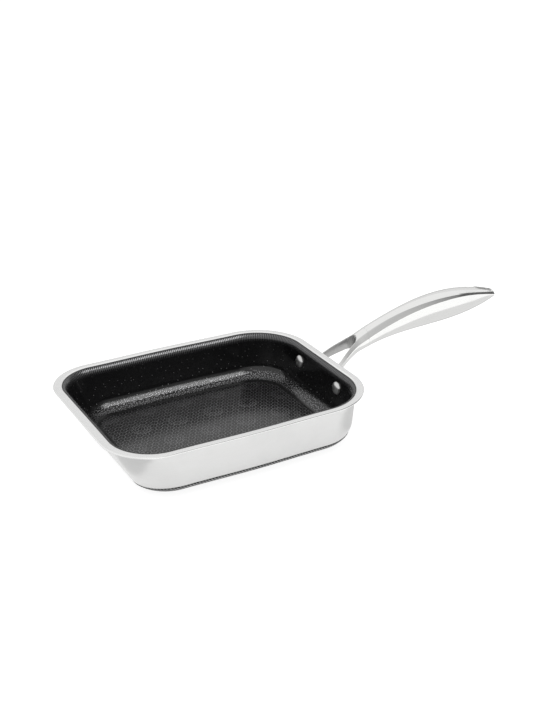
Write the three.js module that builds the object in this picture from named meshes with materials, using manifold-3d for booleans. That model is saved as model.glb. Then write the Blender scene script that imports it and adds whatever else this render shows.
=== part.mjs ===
// A rectangular egg pan: a pressed three-ply tray with a bare steel lip, a black non-stick lining and a
// patterned base, and a hollow polished handle whose forked neck is riveted to the rear wall.
// Millimetres, +Z up, +X from the tray towards the handle. The origin is on the underside, below the
// rim's centre.
import * as THREE from "three";
import { mergeVertices } from "three/addons/utils/BufferGeometryUtils.js";
import Module from "manifold-3d";

const wasm = await Module();
wasm.setup();

// Tray
const RIM_LENGTH = 190; // over the lip, along X
const RIM_WIDTH = 146.4; // over the lip, along Y, at the ends of the long sides
const SIDE_BOW = 1; // how far each long side swells at its middle
const RIM_HEIGHT = 37; // from the base's underside to the top of the lip
const FRONT_CORNER_RADIUS = 34; // of the lip's outer edge, seen from above, away from the handle
const REAR_CORNER_RADIUS = 40;
const FLARE_RADIUS = 5; // roll from the lip into the wall, on the cooking side
const BASE_RADIUS = 12; // wall into floor, on the cooking side
// Each wall's lean from the vertical, and the flat top of its lip before it rolls down. Food rolls out over
// the front wall, away from the handle.
const FRONT = { slope: radians(25), lip: 4.5 };
const SIDE = { slope: radians(4.5), lip: 2.8 };
const REAR = { slope: radians(5), lip: 3.2 };

// Layers of the sheet, from the cooking side outwards
const COATING = 0.3;
const INNER_PLY = 0.5;
const CORE_PLY = 1.3;
const OUTER_PLY = 0.5;
const BOND = 0.1; // between neighbouring layers
const BASE_COATING = 0.3;
const COATING_EDGE = 0.35; // share of the roll, counted from the lip, that stays bare steel
const CORE_EDGE = 0.75; // share of the roll, counted from the wall, that the core reaches into
const BASE_COATING_EDGE = 0.65; // share of the base's rounding, counted from the floor, that it covers

// Rivets and the plate behind them
const RIVET_SPACING = 50.6;
const RIVET_DROP = 11.7; // below the top of the lip
const RIVET_SHANK = 5;
const RIVET_HEAD = 9.4;
const RIVET_DOME = 2.3;
const RIVET_TAIL = 8;
const RIVET_TAIL_HEIGHT = 1.6;
const FLANGE_LENGTH = 66;
const FLANGE_HEIGHT = 15;
const FLANGE_THICKNESS = 2;
const HOLE_CLEARANCE = 0.3; // round a rivet's shank
const SEAT_GAP = 0.2; // between pieces that sit on each other

// Fork: two legs from the plate that close round a finger gap and meet in the neck
const LEG_THICKNESS = 2.4;
const LEG_SPREAD = 12; // from the middle to a leg's middle, at the plate
const LEG_ABOVE = 5.4; // the legs' top edge above the rivets, at the plate
const LEG_BELOW = 1.5; // their bottom edge below the rivets
const LEG_TOP_RISE = 8.9; // how steeply each edge leaves the plate: its rise over a third of the fork
const LEG_BOTTOM_RISE = 9.3;
const LEG_FLARE = 7.6; // how wide apart the legs still are a third of the way along
const NECK_REACH = 29.6; // from the lip to where the fork ends and the grip begins
const NECK_WIDTH = 13.6;
const LEG_END = 6.2; // from the neck's end to where the legs run parallel
const GAP_END = 12.4; // from the neck's end to the start of the finger gap's rounding
const TENON_LENGTH = 13; // spigot that plugs into the hollow grip

// Grip: its outline seen from the side is two curves from the neck to the tip, with heights above the lip
const GRIP_LENGTH = 116.4;
const NECK_TOP = 14.4;
const NECK_BELLY = 3.3;
const TIP_TOP = 22.3;
const TIP_BELLY = 19.8;
const TOP_RISE = 28.7; // height of the top curve's first handle, which sets how steeply it leaves the neck
const TOP_ARCH = 36; // height of its second handle, which sets how high it arches before the tip
const BELLY_RISE = 12.6;
const BELLY_ARCH = 2;
const GRIP_WIDTH = 18.3; // where the grip is widest
const TIP_WIDTH = 5.6;
const NECK_SHOULDER = 2.2; // how far the flat top stays inside each side: at the neck, the middle and the tip
const GRIP_SHOULDER = 1.9;
const TIP_SHOULDER = 0.7;
const TIP_ROUNDING = 24; // length over which the grip narrows to its tip
const GRIP_WALL = 1.2;
const NECK_SEAM = 3.4; // how far the seam between the halves lies below the top's edges, at the neck
const GRIP_SEAM = 1.5; // and further along
const SEAM_RUN = 0.7; // share of the grip's length over which it comes up to that
const SHOULDER_BULGE = 0.25; // how much a shoulder swells out: 0 is a flat chamfer
const GRIP_CROWN = 1.8; // how far the middle of the top stands above its edges
const HOLLOW_LENGTH = 99;

// Hanging hole in the tip
const HANG_SLOT_LENGTH = 14;
const HANG_SLOT_WIDTH = 5.2;
const HANG_SLOT_FROM_TIP = 3.2;
const LINER_WALL = 0.8;

// Facets
const CORNER_STEPS = 7;
const LONG_STEPS = 4;
const SHORT_STEPS = 2;
const BASE_STEPS = 6;
const FLARE_STEPS = 4;
const GRIP_STATIONS = 16;
const LEG_STEPS = 10;
const ROUND_STEPS = 20;

const NECK_X = RIM_LENGTH / 2 + NECK_REACH;
const TIP_X = NECK_X + GRIP_LENGTH;
const TOP_CURVE = gripCurve([NECK_TOP, TOP_RISE, TOP_ARCH, TIP_TOP], [0.37, 0.705]);
const BELLY_CURVE = gripCurve([NECK_BELLY, BELLY_RISE, BELLY_ARCH, TIP_BELLY], [0.238, 0.607]);
const RIVET_HEIGHT = RIM_HEIGHT - RIVET_DROP;
const SHEET = INNER_PLY + BOND + CORE_PLY + BOND + OUTER_PLY;
const FLOOR_HEIGHT = BASE_COATING + BOND + SHEET; // cooking surface above the underside

function radians(degrees) {
  return (degrees * Math.PI) / 180;
}

function lerp(from, to, share) {
  return from + (to - from) * share;
}

function bezier(start, first, second, end) {
  const points = [start, first, second, end].map(([x, z]) => new THREE.Vector2(x, z));
  return new THREE.CubicBezierCurve(...points);
}

// A curve along the grip from four heights above the lip: its ends and the two handles between them, which
// stand at shares of its length.
function gripCurve(heights, shares) {
  const along = [0, ...shares, 1];
  return bezier(...heights.map((height, i) => [lerp(NECK_X, TIP_X, along[i]), RIM_HEIGHT + height]));
}

// A solid over a row of closed rings of points, with a fan over each end. From the ring numbered turn on,
// where a layer comes back down its other face, quads are split along their other diagonal, so that both
// faces have equal facets.
function loftSolid(rings, turn = rings.length) {
  const count = rings[0].length;
  const centres = [rings[0], rings.at(-1)].map((ring) =>
    ring.reduce((sum, point) => sum.add(point), new THREE.Vector3()).divideScalar(count),
  );
  const position = [...rings.flat(), ...centres].flatMap((point) => point.toArray());
  const firstCentre = rings.length * count;
  const lastRing = (rings.length - 1) * count;
  const index = [];
  for (let i = 0; i < count; i++) {
    const next = (i + 1) % count;
    index.push(firstCentre, next, i, firstCentre + 1, lastRing + i, lastRing + next);
    for (let row = 0; row < lastRing; row += count) {
      const [a, b, c, d] = [row + i, row + next, row + count + next, row + count + i];
      index.push(...(row < turn * count ? [a, b, c, a, c, d] : [a, b, d, b, c, d]));
    }
  }
  const geometry = new THREE.BufferGeometry();
  geometry.setAttribute("position", new THREE.Float32BufferAttribute(position, 3));
  geometry.setIndex(index);
  return solidOf(geometry);
}

// A closed geometry as a solid. One whose faces point inwards is turned round.
function solidOf(geometry, matrix = new THREE.Matrix4()) {
  const bare = geometry.clone().applyMatrix4(matrix);
  bare.deleteAttribute("normal");
  bare.deleteAttribute("uv");
  const merged = mergeVertices(bare, 1e-4);
  const vertProperties = merged.getAttribute("position").array;
  const triVerts = new Uint32Array(merged.index.array);
  const make = () => new wasm.Manifold(new wasm.Mesh({ numProp: 3, vertProperties, triVerts }));
  if (make().volume() < 0) triVerts.reverse();
  return make();
}

function geometryOf(solid) {
  const mesh = solid.getMesh();
  const geometry = new THREE.BufferGeometry();
  geometry.setAttribute("position", new THREE.BufferAttribute(mesh.vertProperties, 3));
  geometry.setIndex(new THREE.BufferAttribute(mesh.triVerts, 1));
  const faceted = geometry.toNonIndexed();
  faceted.computeVertexNormals();
  return faceted;
}

function meshOf(name, solid, material) {
  const mesh = new THREE.Mesh(geometryOf(solid), material);
  mesh.name = name;
  return mesh;
}

// A wall's section at a distance outside the cooking surface. Each station holds the way in from the lip's
// edge and the height. Stations run from the floor up the rounding and the wall, round the flare and out
// along the lip, where the core thins out to nothing, so the distance is worked out at each station.
function wallSection({ slope, lip }, offsetAt) {
  const wallTop = RIM_HEIGHT - FLARE_RADIUS + FLARE_RADIUS * Math.sin(slope);
  const filletRise = BASE_RADIUS * (1 - Math.sin(slope));
  const wallLength = (wallTop - FLOOR_HEIGHT - filletRise) / Math.cos(slope);
  const flareFoot = lip + FLARE_RADIUS * Math.cos(slope);
  const filletCentre = flareFoot + wallLength * Math.sin(slope) + BASE_RADIUS * Math.cos(slope);
  const section = [];
  for (let i = 0; i <= BASE_STEPS; i++) {
    const angle = lerp(Math.PI / 2, slope, i / BASE_STEPS);
    const radius = BASE_RADIUS + offsetAt(0);
    section.push({
      inwards: filletCentre - radius * Math.cos(angle),
      height: FLOOR_HEIGHT + BASE_RADIUS - radius * Math.sin(angle),
    });
  }
  for (let i = 0; i <= FLARE_STEPS; i++) {
    const angle = lerp(Math.PI / 2 - slope, 0, i / FLARE_STEPS);
    const radius = FLARE_RADIUS - offsetAt(i / FLARE_STEPS);
    section.push({
      inwards: lip + radius * Math.sin(angle),
      height: RIM_HEIGHT - FLARE_RADIUS + radius * Math.cos(angle),
    });
  }
  section.push({ inwards: 0, height: RIM_HEIGHT - offsetAt(1) });
  return section;
}

// One closed ring of the tray: a rectangle with round corners, each wall at its own place and height.
function trayRing(front, side, rear) {
  const wallOf = (station, length, radius, steps, bow) => ({
    reach: length / 2 - station.inwards,
    height: station.height,
    radius: radius - side.inwards,
    steps,
    bow,
  });
  const walls = [
    wallOf(rear, RIM_LENGTH, REAR_CORNER_RADIUS, SHORT_STEPS, 0),
    wallOf(side, RIM_WIDTH, FRONT_CORNER_RADIUS, LONG_STEPS, SIDE_BOW),
    wallOf(front, RIM_LENGTH, FRONT_CORNER_RADIUS, SHORT_STEPS, 0),
    wallOf(side, RIM_WIDTH, REAR_CORNER_RADIUS, LONG_STEPS, SIDE_BOW),
  ];
  const ring = [];
  walls.forEach((wall, turn) => {
    const next = walls[(turn + 1) % 4];
    const before = walls[(turn + 3) % 4];
    const place = (out, along, height) => {
      const angle = (turn * Math.PI) / 2;
      const x = out * Math.cos(angle) - along * Math.sin(angle);
      const y = out * Math.sin(angle) + along * Math.cos(angle);
      return new THREE.Vector3(x, y, height);
    };
    for (let i = 1; i < wall.steps; i++) {
      const share = i / wall.steps;
      const swell = (wall.bow * (1 - Math.cos(2 * Math.PI * share))) / 2;
      const along = lerp(before.radius - before.reach, next.reach - wall.radius, share);
      ring.push(place(wall.reach + swell, along, wall.height));
    }
    for (let i = 0; i <= CORNER_STEPS; i++) {
      const angle = ((i / CORNER_STEPS) * Math.PI) / 2;
      const out = wall.reach - wall.radius + wall.radius * Math.cos(angle);
      const along = next.reach - wall.radius + wall.radius * Math.sin(angle);
      ring.push(place(out, along, lerp(wall.height, next.height, Math.sin(angle) ** 2)));
    }
  });
  return ring;
}

function trayRings(offsetAt) {
  const [front, side, rear] = [FRONT, SIDE, REAR].map((wall) => wallSection(wall, offsetAt));
  return side.map((_, station) => trayRing(front[station], side[station], rear[station]));
}

// A layer of the tray between two distances outside the cooking surface, up to a station of the section.
function trayLayer(innerAt, outerAt, stations) {
  const inner = trayRings(innerAt).slice(0, stations);
  const outer = trayRings(outerAt).slice(0, stations);
  return loftSolid([...inner, ...outer.reverse()], stations);
}

const ALL_STATIONS = BASE_STEPS + FLARE_STEPS + 3;
const coreAt = (flare) => CORE_PLY * (1 - flare);
const coreInside = () => INNER_PLY + BOND;
const coreOutside = (flare) => coreInside() + coreAt(flare);
const outerInside = (flare) => coreOutside(flare) + BOND;
const outerOutside = (flare) => outerInside(flare) + OUTER_PLY;

// The rear wall's own frame: its origin is on the cooking surface at the rivets' height, and +X points out of
// the tray.
function rearWallFrame() {
  const [foot, top] = wallSection(REAR, () => 0).slice(BASE_STEPS, BASE_STEPS + 2);
  const share = (RIVET_HEIGHT - foot.height) / (top.height - foot.height);
  const frame = new THREE.Group();
  frame.position.set(RIM_LENGTH / 2 - lerp(foot.inwards, top.inwards, share), 0, RIVET_HEIGHT);
  frame.rotation.y = REAR.slope;
  frame.updateMatrix();
  return frame;
}

// A round bar along X of a frame, for cutting a hole.
function crossBar(diameter, from, to, y, frame) {
  const bar = new THREE.CylinderGeometry(diameter / 2, diameter / 2, to - from, ROUND_STEPS);
  bar.rotateZ(-Math.PI / 2).translate((from + to) / 2, y, 0);
  return solidOf(bar, frame.matrix);
}

// A domed rivet along Y: the head's dome is below, and the shank runs up through the wall and the plate to
// its tail.
function rivetGeometry(headSeat, tailSeat) {
  const dome = new THREE.EllipseCurve(0, headSeat, RIVET_HEAD / 2, RIVET_DOME, -Math.PI / 2, 0);
  const profile = dome.getPoints(5);
  profile[0].x = 0;
  profile.push(new THREE.Vector2(RIVET_SHANK / 2, headSeat));
  profile.push(new THREE.Vector2(RIVET_SHANK / 2, tailSeat));
  const tail = new THREE.EllipseCurve(0, tailSeat, RIVET_TAIL / 2, RIVET_TAIL_HEIGHT, 0, Math.PI / 2);
  profile.push(...tail.getPoints(4));
  profile.at(-1).x = 0;
  return new THREE.LatheGeometry(profile, ROUND_STEPS);
}

// A shape in the plane of X and Z, extruded evenly to both sides of the middle plane.
function sideSlab(shape, width) {
  const slab = new THREE.ExtrudeGeometry(shape, { depth: width, bevelEnabled: false, curveSegments: 1 });
  return solidOf(slab.rotateX(Math.PI / 2).translate(0, width / 2, 0));
}

// A shape in the plane of X and Y, extruded upwards between two heights.
function planSlab(shape, from, to) {
  const slab = new THREE.ExtrudeGeometry(shape, { depth: to - from, bevelEnabled: false, curveSegments: 8 });
  return solidOf(slab.translate(0, 0, from));
}

// How far the seam between the grip's halves lies below the top's edges, at a share of the grip's length.
function seamDrop(share) {
  return lerp(NECK_SEAM, GRIP_SEAM, Math.sin((Math.PI / 2) * Math.min(1, share / SEAM_RUN)) ** 2);
}

// The grip's section at a share of its length, drawn in by a wall: a crowned top, shoulders that widen to the
// seam and a belly that is square at the neck and round from the middle on.
function gripRing(share, wall) {
  const top = TOP_CURVE.getPoint(share);
  const belly = BELLY_CURVE.getPoint(share);
  const swell = Math.sin(Math.PI * share * 0.78) ** 3;
  const fromRounding = Math.max(0, 1 - ((1 - share) * GRIP_LENGTH) / TIP_ROUNDING);
  const open = Math.sqrt(1 - fromRounding ** 2);
  const widthAt = (neck, middle, tip) => lerp(tip, lerp(neck, middle, swell), open);
  const fullHalf = widthAt(NECK_WIDTH, GRIP_WIDTH, TIP_WIDTH) / 2 - wall;
  const flatHalf = fullHalf - widthAt(NECK_SHOULDER, GRIP_SHOULDER, TIP_SHOULDER);
  const high = top.y - wall;
  const low = belly.y + wall;
  const seam = high - seamDrop(share);
  const power = lerp(8, 2.2, Math.min(1, share * 2.5));
  const half = [
    [flatHalf * 0.5, high + GRIP_CROWN * 0.75],
    [flatHalf, high],
    [lerp(flatHalf, fullHalf, 0.5 + SHOULDER_BULGE / 4), lerp(high, seam, 0.5)],
    [fullHalf, seam],
  ];
  for (const angle of [20, 40, 58, 75].map(radians)) {
    half.push([
      fullHalf * Math.cos(angle) ** (2 / power),
      seam - (seam - low) * Math.sin(angle) ** (2 / power),
    ]);
  }
  const x = (top.x + belly.x) / 2;
  const point = ([y, z]) => new THREE.Vector3(x, y, z);
  const mirrored = half.map(([y, z]) => [-y, z]).reverse();
  return [[0, high + GRIP_CROWN], ...half, [0, low], ...mirrored].map(point);
}

function gripSolid(from, to, wall) {
  const rings = [];
  for (let i = 0; i <= GRIP_STATIONS; i++) rings.push(gripRing(lerp(from, to, i / GRIP_STATIONS), wall));
  return loftSolid(rings);
}

// Everything in the handle's middle below the seam between the grip's halves, lowered by a gap.
function belowSeam(drop) {
  const shape = new THREE.Shape();
  shape.moveTo(NECK_X - 1, 0);
  for (let i = 0; i <= GRIP_STATIONS; i++) {
    const share = i / GRIP_STATIONS;
    const top = TOP_CURVE.getPoint(share);
    const belly = BELLY_CURVE.getPoint(share);
    shape.lineTo((top.x + belly.x) / 2 + (i === 0 ? -1 : 0), top.y - seamDrop(share) - drop);
  }
  shape.lineTo(TIP_X + 1, BELLY_CURVE.v3.y);
  shape.lineTo(TIP_X + 1, 0);
  return sideSlab(shape, 60);
}

// A slot with round ends along X, upright through the tip.
function hangSlot(width) {
  const radius = width / 2;
  const end = TIP_X - HANG_SLOT_FROM_TIP - HANG_SLOT_WIDTH / 2;
  const start = end - HANG_SLOT_LENGTH + HANG_SLOT_WIDTH;
  const shape = new THREE.Shape();
  shape.absarc(end, 0, radius, -Math.PI / 2, Math.PI / 2);
  shape.absarc(start, 0, radius, Math.PI / 2, (3 * Math.PI) / 2);
  return planSlab(shape, 0, RIM_HEIGHT + TOP_ARCH);
}

// A cubic curve over a span from its four evenly spaced handles, with its slope.
function cubicAt(share, span, [start, first, second, end]) {
  const rest = 1 - share;
  const inner = 3 * rest * share * (rest * first + share * second);
  const middleRate = 2 * rest * share * (second - first);
  const rate = rest ** 2 * (first - start) + middleRate + share ** 2 * (end - second);
  return { value: rest ** 3 * start + inner + share ** 3 * end, slope: (3 * rate) / span };
}

// Both faces of a leg seen from above, as distances from the middle plane: the legs close in from the plate
// and are parallel before they reach the neck's end.
function legFaces(x, plateX) {
  const span = NECK_X - LEG_END - plateX;
  const neckHalf = (NECK_WIDTH - LEG_THICKNESS) / 2;
  const handles = [LEG_SPREAD, neckHalf + LEG_FLARE, neckHalf, neckHalf];
  const middle = cubicAt(Math.min(1, (x - plateX) / span), span, handles);
  const half = (LEG_THICKNESS / 2) * Math.hypot(1, middle.slope);
  return { inner: middle.value - half, outer: middle.value + half, slope: middle.slope };
}

// The neck's section carried along the fork: its sides are moved apart to the legs' outer faces, and its
// height follows the legs, which leave the plate and run into the grip's two curves without a bend.
function forkRing(share, plateX) {
  const x = lerp(plateX, NECK_X, share);
  const span = NECK_X - plateX;
  const gripRun = (TOP_CURVE.v1.x + BELLY_CURVE.v1.x) / 2 - NECK_X;
  const heightAt = (end, rise, { v0, v1 }) => {
    const before = v0.y - ((v1.y - v0.y) / gripRun) * (span / 3);
    return cubicAt(share, span, [end, end + rise, before, v0.y]).value;
  };
  const high = heightAt(RIVET_HEIGHT + LEG_ABOVE, LEG_TOP_RISE, TOP_CURVE);
  const low = heightAt(RIVET_HEIGHT - LEG_BELOW, LEG_BOTTOM_RISE, BELLY_CURVE);
  const apart = legFaces(x, plateX).outer - NECK_WIDTH / 2;
  const [neckHigh, neckLow] = [TOP_CURVE.v0.y, BELLY_CURVE.v0.y];
  return gripRing(0, 0).map(({ y, z }) => {
    const level = (z - neckLow) / (neckHigh - neckLow);
    return new THREE.Vector3(x, y + Math.sign(y) * apart, lerp(low, high, level));
  });
}

// The finger gap between the legs, with a round end towards the neck, as an upright cutter.
function fingerGap(plateX) {
  const gapX = NECK_X - GAP_END;
  const { inner, slope } = legFaces(gapX, plateX);
  const lean = Math.atan(-slope);
  const radius = inner / Math.cos(lean);
  const edge = Array.from({ length: LEG_STEPS }, (_, i) => {
    const x = lerp(plateX, gapX, i / LEG_STEPS);
    return new THREE.Vector2(x, legFaces(x, plateX).inner);
  });
  const shape = new THREE.Shape(edge.map(({ x, y }) => new THREE.Vector2(x, -y)));
  shape.absarc(gapX - radius * Math.sin(lean), 0, radius, lean - Math.PI / 2, Math.PI / 2 - lean);
  for (const { x, y } of edge.reverse()) shape.lineTo(x, y);
  return planSlab(shape, 0, RIM_HEIGHT + TOP_ARCH);
}

const steel = (color, roughness) => new THREE.MeshStandardMaterial({ color, roughness, metalness: 1 });
const polishedSteel = steel(0xd9dadb, 0.12);
const brushedSteel = steel(0xd2d3d4, 0.3);
const aluminium = steel(0xc4c6c9, 0.45);
const lining = new THREE.MeshStandardMaterial({ color: 0x17181a, roughness: 0.4, metalness: 0.1 });
const basePattern = new THREE.MeshStandardMaterial({ color: 0x3c3d3f, roughness: 0.45, metalness: 0.4 });

const rearWall = rearWallFrame();
const plateFace = SHEET + SEAT_GAP + FLANGE_THICKNESS;
const rivetSides = { rivet_far: RIVET_SPACING / 2, rivet_near: -RIVET_SPACING / 2 };
const rivetHoles = Object.values(rivetSides).map((y) =>
  crossBar(RIVET_SHANK + 2 * HOLE_CLEARANCE, -RIVET_HEAD, RIVET_HEAD, y, rearWall),
);
const withRivetHoles = (solid) => rivetHoles.reduce((left, hole) => left.subtract(hole), solid);

function tray() {
  const group = new THREE.Group();
  const bareSteel = Math.round(FLARE_STEPS * COATING_EDGE) + 1;
  const thinCore = Math.round(FLARE_STEPS * (1 - CORE_EDGE)) + 1;
  const coating = trayLayer(() => -COATING - BOND, () => -BOND, ALL_STATIONS - bareSteel);
  const inner = trayLayer(() => 0, () => INNER_PLY, ALL_STATIONS);
  const core = trayLayer(coreInside, coreOutside, ALL_STATIONS - thinCore);
  const outer = trayLayer(outerInside, outerOutside, ALL_STATIONS);
  const patternedStations = Math.round(BASE_STEPS * BASE_COATING_EDGE) + 1;
  const base = trayLayer(() => SHEET + BOND, () => SHEET + BOND + BASE_COATING, patternedStations);
  group.add(
    meshOf("nonstick_coating", withRivetHoles(coating), lining),
    meshOf("inner_steel_ply", withRivetHoles(inner), brushedSteel),
    meshOf("aluminium_core", withRivetHoles(core), aluminium),
    meshOf("outer_steel_ply", withRivetHoles(outer), brushedSteel),
    meshOf("base_coating", base, basePattern),
  );
  return group;
}

// The rivets and the plate, in the rear wall's own frame.
function fastening() {
  const headSeat = -BOND - COATING - BOND;
  const tailSeat = plateFace + BOND;
  for (const [name, y] of Object.entries(rivetSides)) {
    const rivet = meshOf(name, solidOf(rivetGeometry(headSeat, tailSeat)), polishedSteel);
    rivet.rotation.z = -Math.PI / 2;
    rivet.position.y = y;
    rearWall.add(rivet);
  }
  rearWall.add(meshOf("mounting_flange", flange(), brushedSteel));
  return rearWall;
}

// A plate with round ends against the outside of the rear wall, with a hole for each rivet.
function flange() {
  const radius = FLANGE_HEIGHT / 2;
  const reach = FLANGE_LENGTH / 2 - radius;
  const shape = new THREE.Shape();
  shape.absarc(reach, 0, radius, -Math.PI / 2, Math.PI / 2);
  shape.absarc(-reach, 0, radius, Math.PI / 2, (3 * Math.PI) / 2);
  for (const y of Object.values(rivetSides)) {
    const hole = new THREE.Path().absarc(y, 0, RIVET_SHANK / 2 + HOLE_CLEARANCE, 0, 2 * Math.PI, true);
    shape.holes.push(hole);
  }
  const extrusion = { depth: FLANGE_THICKNESS, bevelEnabled: false, curveSegments: ROUND_STEPS / 2 };
  const plate = new THREE.ExtrudeGeometry(shape, extrusion);
  const upright = new THREE.Matrix4().makeBasis(
    new THREE.Vector3(0, 1, 0),
    new THREE.Vector3(0, 0, 1),
    new THREE.Vector3(1, 0, 0),
  );
  return solidOf(plate.applyMatrix4(upright).translate(SHEET + SEAT_GAP, 0, 0));
}

function handle() {
  const group = new THREE.Group();
  const plateX = rearWall.position.x + SHEET;
  const nearPlate = new THREE.BoxGeometry(60, RIM_WIDTH, 2 * RIM_HEIGHT);
  nearPlate.translate(plateFace + SEAT_GAP - 30, 0, 0);
  const rings = Array.from({ length: LEG_STEPS + 1 }, (_, i) => forkRing(i / LEG_STEPS, plateX));
  const legs = loftSolid(rings).subtract(fingerGap(plateX)).subtract(solidOf(nearPlate, rearWall.matrix));
  const tenon = gripSolid(0, TENON_LENGTH / GRIP_LENGTH, GRIP_WALL + SEAT_GAP);
  const skin = gripSolid(SEAT_GAP / GRIP_LENGTH, 1, 0);
  const hollow = gripSolid(0, HOLLOW_LENGTH / GRIP_LENGTH, GRIP_WALL);
  const shell = skin.subtract(hollow).subtract(hangSlot(HANG_SLOT_WIDTH + 2 * LINER_WALL));
  const liner = skin
    .intersect(hangSlot(HANG_SLOT_WIDTH + 2 * LINER_WALL - 2 * SEAT_GAP))
    .subtract(hangSlot(HANG_SLOT_WIDTH));
  group.add(
    meshOf("handle_fork", legs.add(tenon), polishedSteel),
    meshOf("grip_upper_shell", shell.subtract(belowSeam(0)), polishedSteel),
    meshOf("grip_lower_shell", shell.intersect(belowSeam(SEAT_GAP)), polishedSteel),
    meshOf("hang_hole_liner", liner, polishedSteel),
  );
  return group;
}

const eggPan = new THREE.Group();
eggPan.name = "egg_pan";
eggPan.add(tray(), fastening(), handle());

export default eggPan;
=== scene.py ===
"""A rectangular egg pan with a forked steel handle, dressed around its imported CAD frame.

Sizes of the pan are millimetres in the frame of the CAD: +Z is up, +X runs from the tray to the handle and
the origin is on the underside. Its meshes are built in metres, in place. Sizes of the studio are metres.
"""

from __future__ import annotations

import logging
import math
from dataclasses import dataclass, field
from enum import Enum
from functools import reduce
from typing import Callable, Optional, Sequence, Union

import bmesh
import bpy
import numpy as np
from bpy.types import ID, Material, Node, NodeSocket, NodeTree, Object
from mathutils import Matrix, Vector

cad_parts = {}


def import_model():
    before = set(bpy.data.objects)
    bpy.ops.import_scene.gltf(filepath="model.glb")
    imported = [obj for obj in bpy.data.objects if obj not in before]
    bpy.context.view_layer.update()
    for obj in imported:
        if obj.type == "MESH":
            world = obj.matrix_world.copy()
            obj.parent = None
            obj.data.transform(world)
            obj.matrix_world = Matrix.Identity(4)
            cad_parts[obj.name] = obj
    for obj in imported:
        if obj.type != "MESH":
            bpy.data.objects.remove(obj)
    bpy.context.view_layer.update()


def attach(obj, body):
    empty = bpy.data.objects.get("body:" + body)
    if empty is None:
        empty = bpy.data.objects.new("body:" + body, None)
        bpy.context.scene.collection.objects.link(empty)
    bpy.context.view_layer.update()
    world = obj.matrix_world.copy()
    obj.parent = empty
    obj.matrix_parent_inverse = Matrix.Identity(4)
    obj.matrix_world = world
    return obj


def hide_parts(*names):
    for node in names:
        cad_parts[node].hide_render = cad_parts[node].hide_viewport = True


LOG = logging.getLogger("egg_pan")
MM = 0.001
WELD_DISTANCE = 2e-6  # metres within which the points of two grids are one
TINY = 1e-6  # keeps a divisor away from zero

Array = np.ndarray
Source = Union[float, Sequence[float], NodeSocket]
Colour = tuple[float, float, float]
Band = tuple[float, float]  # a range of values over which a mask fades


class Slot(Enum):
    """Names of the material slots."""

    TRAY_STEEL = "tray_steel"
    HANDLE_STEEL = "handle_steel"
    RIVET_STEEL = "rivet_steel"
    CORE = "core"
    LINING = "lining"
    BASE_PATTERN = "base_pattern"


class SurfaceMap(Enum):
    """UV maps, in millimetres, that a pattern can follow."""

    DEVELOPED = "developed"  # the floor in plan, with the walls unrolled outwards from its edge
    AROUND = "around"  # the way round the rim, and the way up from the floor's edge


# Meshes


@dataclass(frozen=True)
class Patch:
    """A grid of points with the surface coordinates of each point.

    Attributes:
        points: Rows x columns x 3, in millimetres.
        maps: For each surface map, rows x columns x 2.
        finish: Number of its material on the piece.
    """

    points: Array
    maps: dict[SurfaceMap, Array] = field(default_factory=dict)
    finish: int = 0

    def mirrored(self) -> "Patch":
        """The same grid on the other side of the plane y = 0."""
        return Patch(self.points * np.array([1.0, -1.0, 1.0]), self.maps, self.finish)


def lerp(start: Source, end: Source, share: Source) -> Array:
    """The value at a share of the way from start to end."""
    return np.asarray(start) + (np.asarray(end) - np.asarray(start)) * np.asarray(share)


def smooth(share: Array) -> Array:
    """A squared sine that rises from 0 at a share of 0 to 1 at a share of 1 and stays level beyond them."""
    return np.sin(np.pi / 2 * np.clip(share, 0, 1)) ** 2


def bezier(share: Array, handles: Sequence[float]) -> Array:
    """A cubic Bezier value: the four handles weighted by the cubic Bernstein terms of the share.

    Args:
        share: Places along the curve.
        handles: The curve's start, its two handles and its end.

    Returns:
        The value at each place.
    """
    rest = 1 - share
    start, first, second, end = handles
    return rest**3 * start + 3 * rest**2 * share * first + 3 * rest * share**2 * second + share**3 * end


def bezier_rate(share: Array, handles: Sequence[float]) -> Array:
    """The rate of change of a cubic Bezier value over its share.

    Args:
        share: Places along the curve.
        handles: The curve's start, its two handles and its end.

    Returns:
        The rate at each place.
    """
    rest = 1 - share
    start, first, second, end = handles
    return 3 * (rest**2 * (first - start) + 2 * rest * share * (second - first) + share**2 * (end - second))


def slot_ring(start: float, end: float, count: int) -> tuple[Array, Array]:
    """A slot's outline: a half circle round each of two middles.

    Args:
        start: The middle of one round end, along the slot.
        end: The middle of the other.
        count: Points on each half circle.

    Returns:
        For each point its middle and its angle, with the first point repeated.
    """
    arc = np.linspace(-np.pi / 2, np.pi / 2, count)
    middle = np.concatenate([np.full(count, end), np.full(count, start), [end]])
    return middle, np.concatenate([arc, arc + np.pi, arc[:1]])


def grid_quads(rows: int, columns: int) -> Array:
    """Corner indices of the quads of a grid.

    Args:
        rows: Rows of points.
        columns: Points in a row.

    Returns:
        One row of four indices for each quad.
    """
    index = np.arange(rows * columns).reshape(rows, columns)
    corners = [index[:-1, :-1], index[:-1, 1:], index[1:, 1:], index[1:, :-1]]
    return np.stack(corners, axis=-1).reshape(-1, 4)


def put(name: str, data: ID) -> Object:
    """Puts a new object in the scene, at the origin.

    Args:
        name: Its name.
        data: Its mesh, lamp or camera.

    Returns:
        The object.
    """
    made = bpy.data.objects.new(name, data)
    bpy.context.scene.collection.objects.link(made)
    return made


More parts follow.
